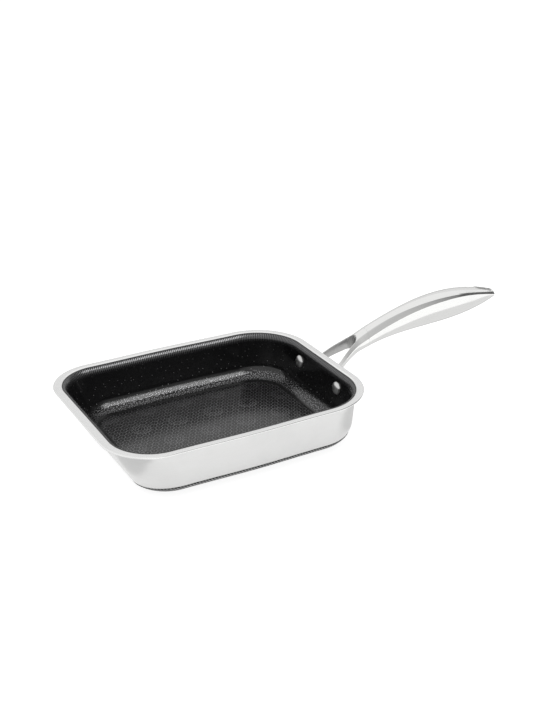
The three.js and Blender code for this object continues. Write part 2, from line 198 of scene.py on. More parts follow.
def make_piece(name: str, patches: Sequence[Patch], crease: float = 40.0) -> Object:
    """One closed mesh over several grids, whose touching edges are welded and whose open ends are filled.

    Args:
        name: Name of the piece.
        patches: The grids.
        crease: Angle in degrees from which an edge stays sharp.

    Returns:
        The object, linked to the scene, at the origin.
    """
    grids = [grid_quads(*patch.points.shape[:2]) for patch in patches]
    starts = np.cumsum([0] + [patch.points[..., 0].size for patch in patches[:-1]])
    points = np.concatenate([patch.points.reshape(-1, 3) for patch in patches]) * MM
    quads = np.concatenate([grid + start for grid, start in zip(grids, starts)])
    finish = np.concatenate([np.full(len(grid), patch.finish) for grid, patch in zip(grids, patches)])
    mesh = bpy.data.meshes.new(name)
    mesh.from_pydata(points, [], quads)
    mesh.polygons.foreach_set("material_index", finish.astype(np.int32))
    for surface_map in patches[0].maps:
        values = np.concatenate([patch.maps[surface_map].reshape(-1, 2) for patch in patches])
        layer = mesh.uv_layers.new(name=surface_map.value)
        layer.data.foreach_set("uv", values[quads.ravel()].astype(np.float32).ravel())
    shape = bmesh.new()
    shape.from_mesh(mesh)
    bmesh.ops.remove_doubles(shape, verts=shape.verts, dist=WELD_DISTANCE)
    bmesh.ops.dissolve_degenerate(shape, edges=shape.edges, dist=WELD_DISTANCE)
    bmesh.ops.holes_fill(shape, edges=[edge for edge in shape.edges if edge.is_boundary], sides=0)
    bmesh.ops.recalc_face_normals(shape, faces=shape.faces)
    shape.to_mesh(mesh)
    shape.free()
    mesh.polygons.foreach_set("use_smooth", np.ones(len(mesh.polygons), dtype=bool))
    mesh.set_sharp_from_angle(angle=math.radians(crease))
    return put(name, mesh)


def seat(piece: Object, materials: Sequence[Material], slot: Slot, node: str) -> Object:
    """Dresses a piece, lets it ride on the pan and has it stand for its CAD node.

    Args:
        piece: The piece.
        materials: Its finishes, by their numbers on its grids.
        slot: Not used.
        node: CAD node that it stands for.

    Returns:
        The piece.
    """
    for material in materials:
        piece.data.materials.append(material)
    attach(piece, "root")
    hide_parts(node)
    names = ", ".join(material.name for material in materials)
    LOG.info("%s: %d faces, %s", piece.name, len(piece.data.polygons), names)
    return piece


# Materials


class Blend(Enum):
    """What a Mix node mixes, by the end of its sockets' names."""

    RGBA = "Color"
    VECTOR = "Vector"


class Graph:
    """A node tree with short calls for the nodes that the finishes use."""

    def __init__(self, tree: NodeTree) -> None:
        """Takes the tree of a material, a world or a group, and clears it."""
        self.tree = tree
        tree.nodes.clear()

    def node(self, kind: str, **settings: object) -> Node:
        """A new node.

        Args:
            kind: Its type, without the leading "ShaderNode" unless it is another kind of node.
            settings: Its properties.

        Returns:
            The node.
        """
        made = self.tree.nodes.new(kind if kind.startswith("Node") else "ShaderNode" + kind)
        for key, value in settings.items():
            setattr(made, key, value)
        return made

    def feed(self, socket: NodeSocket, source: Source) -> None:
        """Links a source to a socket, or sets the socket's own value.

        Args:
            socket: The socket.
            source: Another node's socket, or a value.
        """
        if isinstance(source, NodeSocket):
            self.tree.links.new(source, socket)
        else:
            socket.default_value = source

    def fill(self, node: Node, *sources: Source, **named: Source) -> Node:
        """Feeds a node's inputs.

        Args:
            node: The node.
            sources: Sources of its first inputs, in their order.
            named: Sources of other inputs, by their names in small letters with underscores.

        Returns:
            The node.
        """
        for socket, source in zip(node.inputs, sources):
            self.feed(socket, source)
        for name, source in named.items():
            self.feed(node.inputs[name.replace("_", " ").title()], source)
        return node

    def math(self, operation: str, *sources: Source) -> NodeSocket:
        """The result of a Math node."""
        return self.fill(self.node("Math", operation=operation), *sources).outputs[0]

    def fold(self, operation: str, *sources: Source) -> NodeSocket:
        """The result of a Math operation carried over several sources in turn."""
        return reduce(lambda first, second: self.math(operation, first, second), sources)

    def vector(self, operation: str, *sources: Source) -> Node:
        """A Vector Math node."""
        return self.fill(self.node("VectorMath", operation=operation), *sources)

    def mix(self, blend: Blend, share: Source, first: Source, second: Source) -> NodeSocket:
        """A mix of two colours or two vectors.

        Args:
            blend: Which of them.
            share: The share of the second.
            first: The first.
            second: The second.

        Returns:
            The mix.
        """
        made = self.node("Mix", data_type=blend.name)
        inputs = {socket.identifier: socket for socket in made.inputs}
        self.feed(inputs["Factor_Float"], share)
        self.feed(inputs[f"A_{blend.value}"], first)
        self.feed(inputs[f"B_{blend.value}"], second)
        return next(socket for socket in made.outputs if socket.identifier == f"Result_{blend.value}")

    def ramp(self, value: Source, band: Band, bottom: float, top: float) -> NodeSocket:
        """A value carried smoothly from a bottom at a band's start to a top at its end."""
        made = self.node("MapRange", interpolation_type="SMOOTHSTEP")
        return self.fill(made, value, *band, bottom, top).outputs[0]

    def above(self, value: Source, band: Band) -> NodeSocket:
        """A mask of 0 before a band of values and 1 past it."""
        return self.ramp(value, band, 0.0, 1.0)

    def below(self, value: Source, band: Band) -> NodeSocket:
        """A mask of 1 before a band of values and 0 past it."""
        return self.ramp(value, band, 1.0, 0.0)

    def noise(self, vector: Source, scale: float, detail: float) -> NodeSocket:
        """A noise value round 0.5."""
        return self.fill(self.node("TexNoise"), vector=vector, scale=scale, detail=detail).outputs["Fac"]

    def group(self, tree: NodeTree, **sources: Source) -> Node:
        """A placed group, its inputs set by name."""
        return self.fill(self.node("Group", node_tree=tree), **sources)

    def object_point(self, scale: Sequence[float] = (1 / MM, 1 / MM, 1 / MM)) -> NodeSocket:
        """The object's own coordinates, in millimetres unless another scale is given."""
        point = self.node("TexCoord").outputs["Object"]
        return self.fill(self.node("Mapping"), vector=point, scale=scale).outputs["Vector"]

    def surface(self, surface_map: SurfaceMap) -> NodeSocket:
        """One of the piece's own surface maps."""
        return self.node("UVMap", uv_map=surface_map.value).outputs["UV"]

    def around(self) -> tuple[NodeSocket, NodeSocket]:
        """The way round the rim and the way up from the floor's edge, in millimetres."""
        parts = self.fill(self.node("SeparateXYZ"), self.surface(SurfaceMap.AROUND)).outputs
        return parts["X"], parts["Y"]


def new_group(
    name: str, inputs: dict[str, tuple[str, object]], outputs: Sequence[str]
) -> tuple[Graph, dict[str, NodeSocket], dict[str, NodeSocket]]:
    """An empty shader node group.

    Args:
        name: Its name.
        inputs: For each input, its socket type without "NodeSocket" and its value.
        outputs: Names of its values.

    Returns:
        Its graph, its inputs' sockets by name and its outputs' sockets by name.
    """
    tree = bpy.data.node_groups.new(name, "ShaderNodeTree")
    graph = Graph(tree)
    for key, (kind, value) in inputs.items():
        socket = tree.interface.new_socket(key, in_out="INPUT", socket_type="NodeSocket" + kind)
        socket.default_value = value
    for key in outputs:
        tree.interface.new_socket(key, in_out="OUTPUT", socket_type="NodeSocketFloat")
    entry, leave = graph.node("NodeGroupInput"), graph.node("NodeGroupOutput")
    return graph, {key: entry.outputs[key] for key in inputs}, {key: leave.inputs[key] for key in outputs}


LINE_EDGE: Band = (0.6, 1.4)  # shares of a honeycomb line's width over which it fades
GRAIN_LAYERS = ((6.0, 3.0, 0.7), (0.8, 2.0, 0.3))  # scale, detail and share of each size of brushed line
MARK_SIZE = 30.0  # of a mark of handling, in millimetres
MARK_DETAIL = 4.0
MARK_BAND: Band = (0.42, 0.68)
PLACE = {"Vector": ("Vector", (0, 0, 0))}  # the input of a group that takes a place


@dataclass(frozen=True)
class Effects:
    """The node groups that several finishes share."""

    honeycomb: NodeTree
    ribs: NodeTree
    grain: NodeTree
    handling: NodeTree

    @classmethod
    def build(cls) -> "Effects":
        """Builds every group once."""
        return cls(cls._honeycomb(), cls._ribs(), cls._grain(), cls._handling())

    @staticmethod
    def _honeycomb() -> NodeTree:
        """Hexagons: of two staggered grids of cell middles the nearer one is taken, and the way to the cell's
        edge is measured across its three pairs of sides.

        Returns:
            The group.
        """
        inputs = {**PLACE, "Cell": ("Float", 2.0), "Line": ("Float", 0.1)}
        graph, entry, leave = new_group("honeycomb", inputs, ("Lines", "Middle"))
        tall = math.sqrt(3.0)
        place = graph.vector("DIVIDE", entry["Vector"], entry["Cell"]).outputs[0]
        cells = []
        for shift in ((0.0, 0.0, 0.0), (0.5, tall / 2, 0.0)):
            moved = graph.vector("SUBTRACT", place, shift).outputs[0]
            wrapped = graph.vector("WRAP", moved, (0.5, tall / 2, 0.5), (-0.5, -tall / 2, -0.5)).outputs[0]
            cells.append(graph.vector("MULTIPLY", wrapped, (1, 1, 0)).outputs[0])
        lengths = [graph.vector("LENGTH", cell).outputs["Value"] for cell in cells]
        nearer = graph.math("LESS_THAN", lengths[1], lengths[0])
        cell = graph.vector("ABSOLUTE", graph.mix(Blend.VECTOR, nearer, *cells)).outputs[0]
        slanted = graph.vector("DOT_PRODUCT", cell, (0.5, tall / 2, 0.0)).outputs["Value"]
        upright = graph.vector("DOT_PRODUCT", cell, (1.0, 0.0, 0.0)).outputs["Value"]
        middle = graph.math("MULTIPLY", graph.math("MAXIMUM", slanted, upright), 2.0)
        edge = graph.math("MULTIPLY", graph.math("SUBTRACT", 1.0, middle), entry["Cell"])
        graph.feed(leave["Lines"], graph.below(graph.math("DIVIDE", edge, entry["Line"]), LINE_EDGE))
        graph.feed(leave["Middle"], middle)
        return graph.tree

    @staticmethod
    def _ribs() -> NodeTree:
        """Even ridges along one coordinate, as a raised cosine.

        Returns:
            The group.
        """
        inputs = {"Along": ("Float", 0.0), "Pitch": ("Float", 1.0)}
        graph, entry, leave = new_group("ribs", inputs, ("Height",))
        turns = graph.math("DIVIDE", entry["Along"], entry["Pitch"])
        wave = graph.math("COSINE", graph.math("MULTIPLY", turns, 2 * math.pi))
        graph.feed(leave["Height"], graph.math("MULTIPLY_ADD", wave, 0.5, 0.5))
        return graph.tree

    @staticmethod
    def _grain() -> NodeTree:
        """Fine brushed lines: noise drawn out along one direction, in two sizes.

        Returns:
            The group.
        """
        graph, entry, leave = new_group("brushed_grain", PLACE, ("Grain",))
        lines = [
            graph.math("MULTIPLY", graph.noise(entry["Vector"], scale, detail), share)
            for scale, detail, share in GRAIN_LAYERS
        ]
        graph.feed(leave["Grain"], graph.math("ADD", *lines))
        return graph.tree

    @staticmethod
    def _handling() -> NodeTree:
        """Faint cloudy marks of handling and polishing: soft noise, of which only the upper values count.

        Returns:
            The group.
        """
        graph, entry, leave = new_group("handling_marks", PLACE, ("Marks",))
        cloud = graph.noise(entry["Vector"], 1.0 / MARK_SIZE, MARK_DETAIL)
        graph.feed(leave["Marks"], graph.above(cloud, MARK_BAND))
        return graph.tree

    def marks(self, graph: Graph) -> NodeSocket:
        """The marks of handling on a material's surface."""
        return graph.group(self.handling, vector=graph.object_point()).outputs["Marks"]


def blank_material(name: str) -> tuple[Material, Graph]:
    """A material without nodes.

    Args:
        name: Its name.

    Returns:
        The material and its graph.
    """
    material = bpy.data.materials.new(name)
    material.use_nodes = True
    return material, Graph(material.node_tree)


def new_material(name: str) -> tuple[Material, Graph, Node]:
    """A material with an unlinked Principled shader on its output.

    Args:
        name: Its name.

    Returns:
        The material, its graph and the shader.
    """
    material, graph = blank_material(name)
    shader = graph.node("BsdfPrincipled")
    graph.fill(graph.node("OutputMaterial"), surface=shader.outputs[0])
    return material, graph, shader


def bump(graph: Graph, shader: Node, height: NodeSocket, depth: float) -> None:
    """Gives a shader a relief.

    Args:
        graph: The material's graph.
        shader: The shader.
        height: From 0 to 1.
        depth: What a height of 1 stands for, in millimetres.
    """
    relief = graph.fill(graph.node("Bump"), distance=depth * MM, height=height)
    graph.fill(shader, normal=relief.outputs[0])


class Brushing(Enum):
    """Scale of the grain's coordinates per metre: small along the brushing."""

    ALONG = (25.0, 900.0, 900.0)
    LEVEL = (60.0, 60.0, 2200.0)
    NONE = (700.0, 700.0, 700.0)


@dataclass(frozen=True)
class SteelFinish:
    """Bare metal: a tint, a polish, brushed grain and marks of handling.

    Attributes:
        name: Name of the material.
        tint: Colour of its reflection.
        roughness: Where it is clean.
        marked: Roughness that a mark adds.
        brushing: Direction of the grain.
        grain: Roughness that the grain adds or takes away.
        relief: Depth of the grain in millimetres.
        dulling: Share of the tint that is left where it is dull.
        grain_band: Values of the grain over which it dulls.
        grain_tone: How dull the grain gets.
        mark_tone: How dull a mark is.
    """

    name: str
    tint: Colour
    roughness: float
    marked: float
    brushing: Brushing
    grain: float
    relief: float
    dulling: float = 0.93
    grain_band: Band = (0.35, 0.65)
    grain_tone: float = 0.5
    mark_tone: float = 0.6

    def material(self, effects: Effects) -> Material:
        """Builds the material.

        Args:
            effects: The shared groups.

        Returns:
            The material.
        """
        material, graph, shader = new_material(self.name)
        grain = graph.group(effects.grain, vector=graph.object_point(self.brushing.value)).outputs["Grain"]
        marks = effects.marks(graph)
        dull = tuple(self.dulling * value for value in self.tint)
        tone = graph.ramp(grain, self.grain_band, 0.0, self.grain_tone)
        tone = graph.math("MAXIMUM", tone, graph.math("MULTIPLY", marks, self.mark_tone))
        rough = graph.math("MULTIPLY_ADD", marks, self.marked, self.roughness - self.grain / 2)
        graph.fill(
            shader,
            metallic=1.0,
            base_color=graph.mix(Blend.RGBA, tone, (*self.tint, 1), (*dull, 1)),
            roughness=graph.math("MULTIPLY_ADD", grain, self.grain, rough),
        )
        bump(graph, shader, grain, self.relief)
        return material


@dataclass(frozen=True)
class LiningFinish:
    """Black non-stick lining with raised steel lines: a fine honeycomb with dots and nested hexagons on the
    floor, a stipple on the rounding, flecks on the walls and ribs on the roll below the lip.

    The cell and the motif are the widths of the fine and the wide cells. The bands of the floor, rounding,
    wall, roll and edge are millimetres up from the floor's edge. The others are values of their own pattern.
    """

    name: str = "nonstick_lining"
    coat: Colour = (0.007, 0.007, 0.0073)
    line: Colour = (0.25, 0.25, 0.255)
    fleck: Colour = (0.4, 0.4, 0.4)
    roughness: float = 0.14
    line_roughness: float = 0.3
    fleck_dulling: float = 0.4
    mark_dulling: float = 0.05
    relief: float = 0.05
    cell: float = 4.6
    line_width: float = 0.42
    dot_band: Band = (0.16, 0.26)
    motif: float = 27.6
    rings: float = 7.0
    ring_band: Band = (0.1, 0.22)
    motif_band: Band = (0.46, 0.5)
    floor_band: Band = (0.2, 1.2)
    stipple_spread: float = 1.5
    stipple_band: Band = (0.2, 0.34)
    rounding_band: Band = (3.0, 4.5)
    fleck_spread: float = 6.5
    fleck_band: Band = (0.035, 0.06)
    high_flecks: float = 0.15
    wall_band: Band = (10.0, 14.0)
    rib_pitch: float = 1.45
    rib_band: Band = (0.35, 0.75)
    rib_share: float = 0.8
    roll_band: Band = (34.5, 40.0)
    edge_band: Band = (40.6, 40.9)

    def material(self, effects: Effects) -> Material:
        """Builds the material.

        Args:
            effects: The shared groups.

        Returns:
            The material.
        """
        material, graph, shader = new_material(self.name)
        along, up = graph.around()
        on_wall = graph.above(up, self.wall_band)
        stipple = graph.below(self.scatter(graph, self.stipple_spread), self.stipple_band)
        on_rounding = graph.math("SUBTRACT", graph.above(up, self.rounding_band), on_wall)
        ribs = graph.group(effects.ribs, along=along, pitch=self.rib_pitch).outputs["Height"]
        ribs = graph.ramp(ribs, self.rib_band, 0.0, self.rib_share)
        lines = graph.fold(
            "MAXIMUM",
            graph.math("MULTIPLY", self.floor_lines(graph, effects), graph.below(up, self.floor_band)),
            graph.math("MULTIPLY", stipple, on_rounding),
            graph.fold("MULTIPLY", ribs, graph.above(up, self.roll_band), graph.below(up, self.edge_band)),
        )
        flecks = graph.below(self.scatter(graph, self.fleck_spread), self.fleck_band)
        thinning = graph.ramp(up, (self.wall_band[0], self.roll_band[0]), 1.0, self.high_flecks)
        flecks = graph.fold("MULTIPLY", flecks, thinning, on_wall)
        rough = graph.math("MULTIPLY_ADD", effects.marks(graph), self.mark_dulling, self.roughness)
        rough = graph.math("MULTIPLY_ADD", lines, self.line_roughness - self.roughness, rough)
        colour = graph.mix(Blend.RGBA, lines, (*self.coat, 1), (*self.line, 1))
        graph.fill(
            shader,
            base_color=graph.mix(Blend.RGBA, flecks, colour, (*self.fleck, 1)),
            metallic=graph.math("MAXIMUM", lines, flecks),
            roughness=graph.math("MULTIPLY_ADD", flecks, self.fleck_dulling, rough),
        )
        bump(graph, shader, lines, self.relief)
        return material

    def floor_lines(self, graph: Graph, effects: Effects) -> NodeSocket:
        """The floor's lines: a honeycomb, a dot in each of its cells, and hexagons nested in the middle of
        each cell of a wider honeycomb.

        Args:
            graph: The material's nodes.
            effects: The shared groups.

        Returns:
            1 on a line and 0 off it.
        """
        plan = graph.surface(SurfaceMap.DEVELOPED)
        fine = graph.group(effects.honeycomb, vector=plan, cell=self.cell, line=self.line_width).outputs
        wide = graph.group(effects.honeycomb, vector=plan, cell=self.motif).outputs["Middle"]
        turns = graph.math("FRACT", graph.math("MULTIPLY", wide, self.rings))
        nested = graph.below(turns, self.ring_band)
        nested = graph.math("MULTIPLY", nested, graph.below(wide, self.motif_band))
        return graph.fold("MAXIMUM", fine["Lines"], graph.below(fine["Middle"], self.dot_band), nested)

    @staticmethod
    def scatter(graph: Graph, spread: float) -> NodeSocket:
        """Distance to the nearest of points strewn over the walls.

        Args:
            graph: The material's nodes.
            spread: Distance between points, in millimetres.

        Returns:
            The distance as a share of the spread.
        """
        points = graph.node("TexVoronoi", voronoi_dimensions="2D")
        graph.fill(points, vector=graph.surface(SurfaceMap.AROUND), scale=1.0 / spread)
        return points.outputs["Distance"]


@dataclass(frozen=True)
class BaseFinish:
    """Dark base coat with a honeycomb under the pan and a slanted hatch round its edge, strongest at the top;
    its dimming towards the floor is partly painted shade from the floor's contact.

    The edge and tooth bands are millimetres up from the floor's edge.
    """

    name: str = "base_pattern"
    dark: Colour = (0.014, 0.014, 0.015)
    light: Colour = (0.42, 0.42, 0.425)
    roughness: float = 0.35
    mark_dulling: float = 0.12
    gloss: float = 0.2
    metal: float = 0.8
    relief: float = 0.06
    cell: float = 3.6
    line_width: float = 0.3
    hatch_pitch: float = 2.14
    hatch_slant: float = 0.9
    hatch_band: Band = (0.55, 0.8)
    hatch_share: float = 0.75
    low_hatch: float = 0.1
    edge_band: Band = (2.0, 3.0)
    tooth_band: Band = (8.0, 9.4)

    def material(self, effects: Effects) -> Material:
        """Builds the material.

        Args:
            effects: The shared groups.

        Returns:
            The material.
        """
        material, graph, shader = new_material(self.name)
        plan = graph.surface(SurfaceMap.DEVELOPED)
        cells = graph.group(effects.honeycomb, vector=plan, cell=self.cell, line=self.line_width)
        along, up = graph.around()
        slanted = graph.math("MULTIPLY_ADD", up, self.hatch_slant, along)
        hatch = graph.group(effects.ribs, along=slanted, pitch=self.hatch_pitch).outputs["Height"]
        hatch = graph.ramp(hatch, self.hatch_band, 0.0, self.hatch_share)
        # Partly painted shade: below the tooth band the hatch fades to low_hatch, darkening the edge near the
        # floor where the floor's shade falls; the rest is the hatch pattern.
        strength = graph.ramp(up, self.tooth_band, self.low_hatch, 1.0)
        lines = graph.math(
            "MAXIMUM",
            graph.math("MULTIPLY", cells.outputs["Lines"], graph.below(up, self.edge_band)),
            graph.fold("MULTIPLY", hatch, graph.above(up, self.edge_band), strength),
        )
        shader.inputs["Specular IOR Level"].default_value = self.gloss
        graph.fill(
            shader,
            base_color=graph.mix(Blend.RGBA, lines, (*self.dark, 1), (*self.light, 1)),
            metallic=graph.math("MULTIPLY", lines, self.metal),
            roughness=graph.math("MULTIPLY_ADD", effects.marks(graph), self.mark_dulling, self.roughness),
        )
        bump(graph, shader, lines, self.relief)
        return material


@dataclass(frozen=True)
class Finishes:
    """Every finish of the pan, built once."""

    satin: Material
    lip: Material
    polished: Material
    blasted_and_shaded: Material
    rivet: Material
    liner: Material
    core: Material
    lining: Material
    base: Material

    @classmethod
    def build(cls, effects: Effects) -> "Finishes":
        """Builds each finish from its values.

        Args:
            effects: The shared groups.

        Returns:
            The finishes.
        """
        metals = (
            SteelFinish("satin_steel", (0.66, 0.66, 0.655), 0.30, 0.06, Brushing.LEVEL, 0.10, 0.006),
            SteelFinish("lip_steel", (0.85, 0.85, 0.845), 0.16, 0.05, Brushing.NONE, 0.04, 0.002),
            SteelFinish("polished_steel", (0.82, 0.82, 0.81), 0.10, 0.06, Brushing.ALONG, 0.05, 0.002),
            # Painted shade: the finger gap's wall is tinted darker than the polished steel for the shade in
            # that recess; its rougher cast surface is its own.
            SteelFinish("blasted_shaded_steel", (0.5, 0.5, 0.495), 0.32, 0.05, Brushing.NONE, 0.08, 0.01),
            SteelFinish("rivet_steel", (0.62, 0.62, 0.615), 0.28, 0.08, Brushing.NONE, 0.08, 0.003),
            SteelFinish("liner_steel", (0.78, 0.78, 0.775), 0.55, 0.05, Brushing.NONE, 0.08, 0.01),
            SteelFinish("core_aluminium", (0.72, 0.73, 0.75), 0.45, 0.06, Brushing.NONE, 0.10, 0.01),
        )
        return cls(*(finish.material(effects) for finish in (*metals, LiningFinish(), BaseFinish())))


# Tray


@dataclass(frozen=True)
class Wall:
    """A wall's lean from the vertical, in degrees, and the flat top of its lip."""

    slope: float
    lip: float


@dataclass(frozen=True)
class Layer:
    """One layer of the sheet.

    Attributes:
        inner: Distance of its cooking side outside the cooking surface, at each station.
        outer: Distance of its other side.
        top: Station at which it ends.
        rim: Points of its edge past that station: the way in from the lip's edge, and the height.
        outer_top: Station at which its other side starts back down, where that isn't the top.
    """

    inner: Callable[[Array], Array]
    outer: Callable[[Array], Array]
    top: float
    rim: Array = field(default_factory=lambda: np.zeros((0, 2)))
    outer_top: Optional[float] = None


@dataclass
class Tray:
    """The pressed tray: nested layers that follow one cooking surface.

    A station runs from 0 at the floor's edge to 1 over the rounding, to 2 up the wall, to 3 over the roll and
    to 4 out along the lip. The values that end in top, start or tuck are stations, and the feather is the
    span of stations over which the lining thins out at its top. The bond is the gap between two layers. The
    nose is the radius of the lip's edge, and nose_reach is how many such radii its underside goes in.
    """

    rim_length: float = 190.0
    rim_width: float = 146.4
    side_bow: float = 1.0
    rim_height: float = 37.0
    front_corner: float = 34.0
    rear_corner: float = 40.0
    flare_radius: float = 5.0
    base_radius: float = 12.0
    floor_height: float = 2.9
    front: Wall = Wall(25.0, 4.5)
    side: Wall = Wall(4.5, 2.8)
    rear: Wall = Wall(5.0, 3.2)
    coating: float = 0.3
    ply: float = 0.5
    core: float = 1.3
    bond: float = 0.1
    nose: float = 0.6
    nose_reach: float = 2.1
    nose_start: float = 3.78
    outer_tuck: float = 3.42
    coating_top: float = 2.72
    feather: float = 0.08
    core_top: float = 2.75
    base_top: float = 0.66
    short_steps: int = 22
    long_steps: int = 36
    corner_steps: int = 36
    nose_points: int = 9
    table_points: int = 400
    section_steps: tuple[int, ...] = (20, 6, 18)  # over the rounding, the wall and the roll
    lip_stations: tuple[float, ...] = (3.25, 3.6, 4.0)
    floor_shares: tuple[float, ...] = (0.0, 0.25, 0.5, 0.75)  # rings between the floor's middle and its edge

    def section(self, wall: Wall, station: Array, offset: Array) -> Array:
        """A wall's section: an arc up from the floor, a straight wall tangent to it, an arc over to the lip
        and the flat lip, each moved out by its offset.

        Args:
            wall: The wall.
            station: Places along the section.
            offset: Distance outside the cooking surface at each place.

        Returns:
            At each place, the way in from the lip's edge and the height.
        """
        lean = math.radians(wall.slope)
        wall_top = self.rim_height - self.flare_radius * (1 - math.sin(lean))
        rise = self.base_radius * (1 - math.sin(lean))
        length = (wall_top - self.floor_height - rise) / math.cos(lean)
        foot = wall.lip + self.flare_radius * math.cos(lean)
        centre = foot + length * math.sin(lean) + self.base_radius * math.cos(lean)
        angle = lerp(math.pi / 2, lean, np.clip(station, 0, 1))
        low_in = centre - (self.base_radius + offset) * np.cos(angle)
        low_z = self.floor_height + self.base_radius - (self.base_radius + offset) * np.sin(angle)
        angle = (math.pi / 2 - lean) * (1 - np.clip(station - 2, 0, 1))
        high_in = wall.lip + (self.flare_radius - offset) * np.sin(angle)
        high_z = self.rim_height - self.flare_radius + (self.flare_radius - offset) * np.cos(angle)
        up_wall = np.clip(station - 1, 0, 1)
        inwards = lerp(low_in, high_in, up_wall) * (1 - np.clip(station - 3, 0, 1))
        return np.stack([inwards, lerp(low_z, high_z, up_wall)], axis=-1)

    def rings(self, front: Array, side: Array, rear: Array) -> tuple[Array, Array]:
        """Closed rings round the tray: straight sides, of which the long ones swell, joined by quarter
        circles whose height passes smoothly from one wall's to the next one's.

        Args:
            front: For each ring, the front wall's way in and height.
            side: The same for the long walls.
            rear: The same for the rear wall.

        Returns:
            The points, rings x columns x 3, with the first column repeated, and each column's outward angle.
        """
        half_length, half_width = self.rim_length / 2, self.rim_width / 2
        walls = [
            (rear, half_length, self.rear_corner, self.short_steps, 0.0),
            (side, half_width, self.front_corner, self.long_steps, self.side_bow),
            (front, half_length, self.front_corner, self.short_steps, 0.0),
            (side, half_width, self.rear_corner, self.long_steps, self.side_bow),
        ]
        reach = [half - wall[:, :1] for wall, half, _, _, _ in walls]
        radius = [corner - side[:, :1] for _, _, corner, _, _ in walls]
        columns, angles = [], []
        for turn, (wall, _, _, steps, bow) in enumerate(walls):
            after, before = (turn + 1) % 4, (turn + 3) % 4
            share = np.arange(1, steps) / steps
            out = reach[turn] + bow * (1 - np.cos(2 * np.pi * share)) / 2
            along = lerp(radius[before] - reach[before], reach[after] - radius[turn], share)
            height = np.broadcast_to(wall[:, 1:], out.shape)
            bend = np.linspace(0, np.pi / 2, self.corner_steps + 1)
            out = np.hstack([out, reach[turn] + radius[turn] * (np.cos(bend) - 1)])
            along = np.hstack([along, reach[after] + radius[turn] * (np.sin(bend) - 1)])
            height = np.hstack([height, lerp(wall[:, 1:], walls[after][0][:, 1:], np.sin(bend) ** 2)])
            c, s = math.cos(turn * math.pi / 2), math.sin(turn * math.pi / 2)
            columns.append(np.stack([out * c - along * s, out * s + along * c, height], axis=-1))
            angles.append(np.concatenate([np.zeros(steps - 1), bend]) + turn * np.pi / 2)
        points, angle = np.hstack(columns), np.concatenate(angles)
        return np.concatenate([points, points[:, :1]], axis=1), np.append(angle, angle[0] + 2 * np.pi)

    def way_up(self, station: Array) -> Array:
        """The way along the long wall's section from the floor's edge to each station.

        Args:
            station: The stations.

        Returns:
            The way to each, in millimetres.
        """
        fine = np.linspace(0, 4, self.table_points)
        steps = np.diff(self.section(self.side, fine, np.zeros_like(fine)), axis=0)
        return np.interp(station, fine, np.append(0, np.cumsum(np.linalg.norm(steps, axis=1))))

    def stations(self, top: float) -> Array:
        """Stations up to a top, close together where the section bends.

        Args:
            top: The last station.

        Returns:
            The stations.
        """
        parts = [np.linspace(part, part + 1, steps + 1)[1:] for part, steps in enumerate(self.section_steps)]
        every = np.concatenate([[0.0], *parts, self.lip_stations])
        return np.append(every[every < top - TINY], top)

    def patch(self, layer: Layer) -> Patch:
        """A layer as one grid that starts at the middle of its cooking side, runs up that side, over its
        edge, down the other side and in to that side's middle.

        Args:
            layer: The layer.

        Returns:
            The grid, with both surface maps.
        """
        up = self.stations(layer.top)
        down = self.stations(layer.top if layer.outer_top is None else layer.outer_top)[::-1]
        station = np.concatenate([up, np.full(len(layer.rim), layer.top), down])

        def whole(wall: Wall) -> Array:
            """A wall's section up one side, over the edge and down the other."""
            inner = self.section(wall, up, layer.inner(up))
            return np.concatenate([inner, layer.rim, self.section(wall, down, layer.outer(down))])

        points, angle = self.rings(whole(self.front), whole(self.side), whole(self.rear))
        flat, count = np.array(self.floor_shares)[:, None, None], len(self.floor_shares)
        middles = [lerp(ring.min(0), ring.max(0), 0.5) for ring in (points[0], points[-1])]
        floors = [lerp(middle, ring, flat) for middle, ring in zip(middles, (points[0], points[-1]))]
        points = np.concatenate([floors[0], points, floors[1][::-1]])
        outward = np.stack([np.cos(angle), np.sin(angle)], axis=-1)
        rise = self.way_up(station)[:, None, None]
        unrolled = points[count, :, :2] + outward * rise
        developed = np.concatenate([floors[0][..., :2], unrolled, floors[1][::-1, :, :2]])
        lip_ring = points[count + len(up) - 1]
        round_way = np.append(0, np.cumsum(np.linalg.norm(np.diff(lip_ring, axis=0), axis=1)))
        height = np.concatenate([np.zeros(count), rise[:, 0, 0], np.zeros(count)])
        around = np.stack(np.broadcast_arrays(round_way[None, :], height[:, None]), axis=-1)
        return Patch(points, {SurfaceMap.DEVELOPED: developed, SurfaceMap.AROUND: around})

    def rear_frame(self, height: float) -> Array:
        """The rear wall's own frame at a height.

        Args:
            height: The height of its origin.

        Returns:
            As columns, its outward, sideways and upward directions and its origin on the cooking surface.
        """
        foot, top = self.section(self.rear, np.array([1.0, 2.0]), np.zeros(2))
        share = (height - foot[1]) / (top[1] - foot[1])
        lean = math.radians(self.rear.slope)
        frame = np.zeros((3, 4))
        frame[:, 0] = math.cos(lean), 0, -math.sin(lean)
        frame[:, 1] = 0, 1, 0
        frame[:, 2] = math.sin(lean), 0, math.cos(lean)
        frame[:, 3] = self.rim_length / 2 - lerp(foot[0], top[0], share), 0, height
        return frame

    def layers(self) -> dict[str, Layer]:
        """The layers of the sheet: the core thins out over the roll, the lining feathers out at its top, and
        the inner ply ends in a half round nose.

        Returns:
            Each layer, by the name of its piece.
        """
        inside = self.ply + self.bond
        below = 2 * inside + self.core + self.bond

        def steady(value: float) -> Callable[[Array], Array]:
            """The same distance at every station."""
            return lambda station: np.full_like(station, value)

        def core_side(station: Array) -> Array:
            """The core's other side."""
            return inside + self.core * (1 - np.clip(station - 2, 0, 1))

        def coat_side(station: Array) -> Array:
            """The lining's cooking side."""
            feather = np.clip((self.coating_top - station) / self.feather, 0, 1)
            return -self.bond - self.coating * np.sqrt(feather)

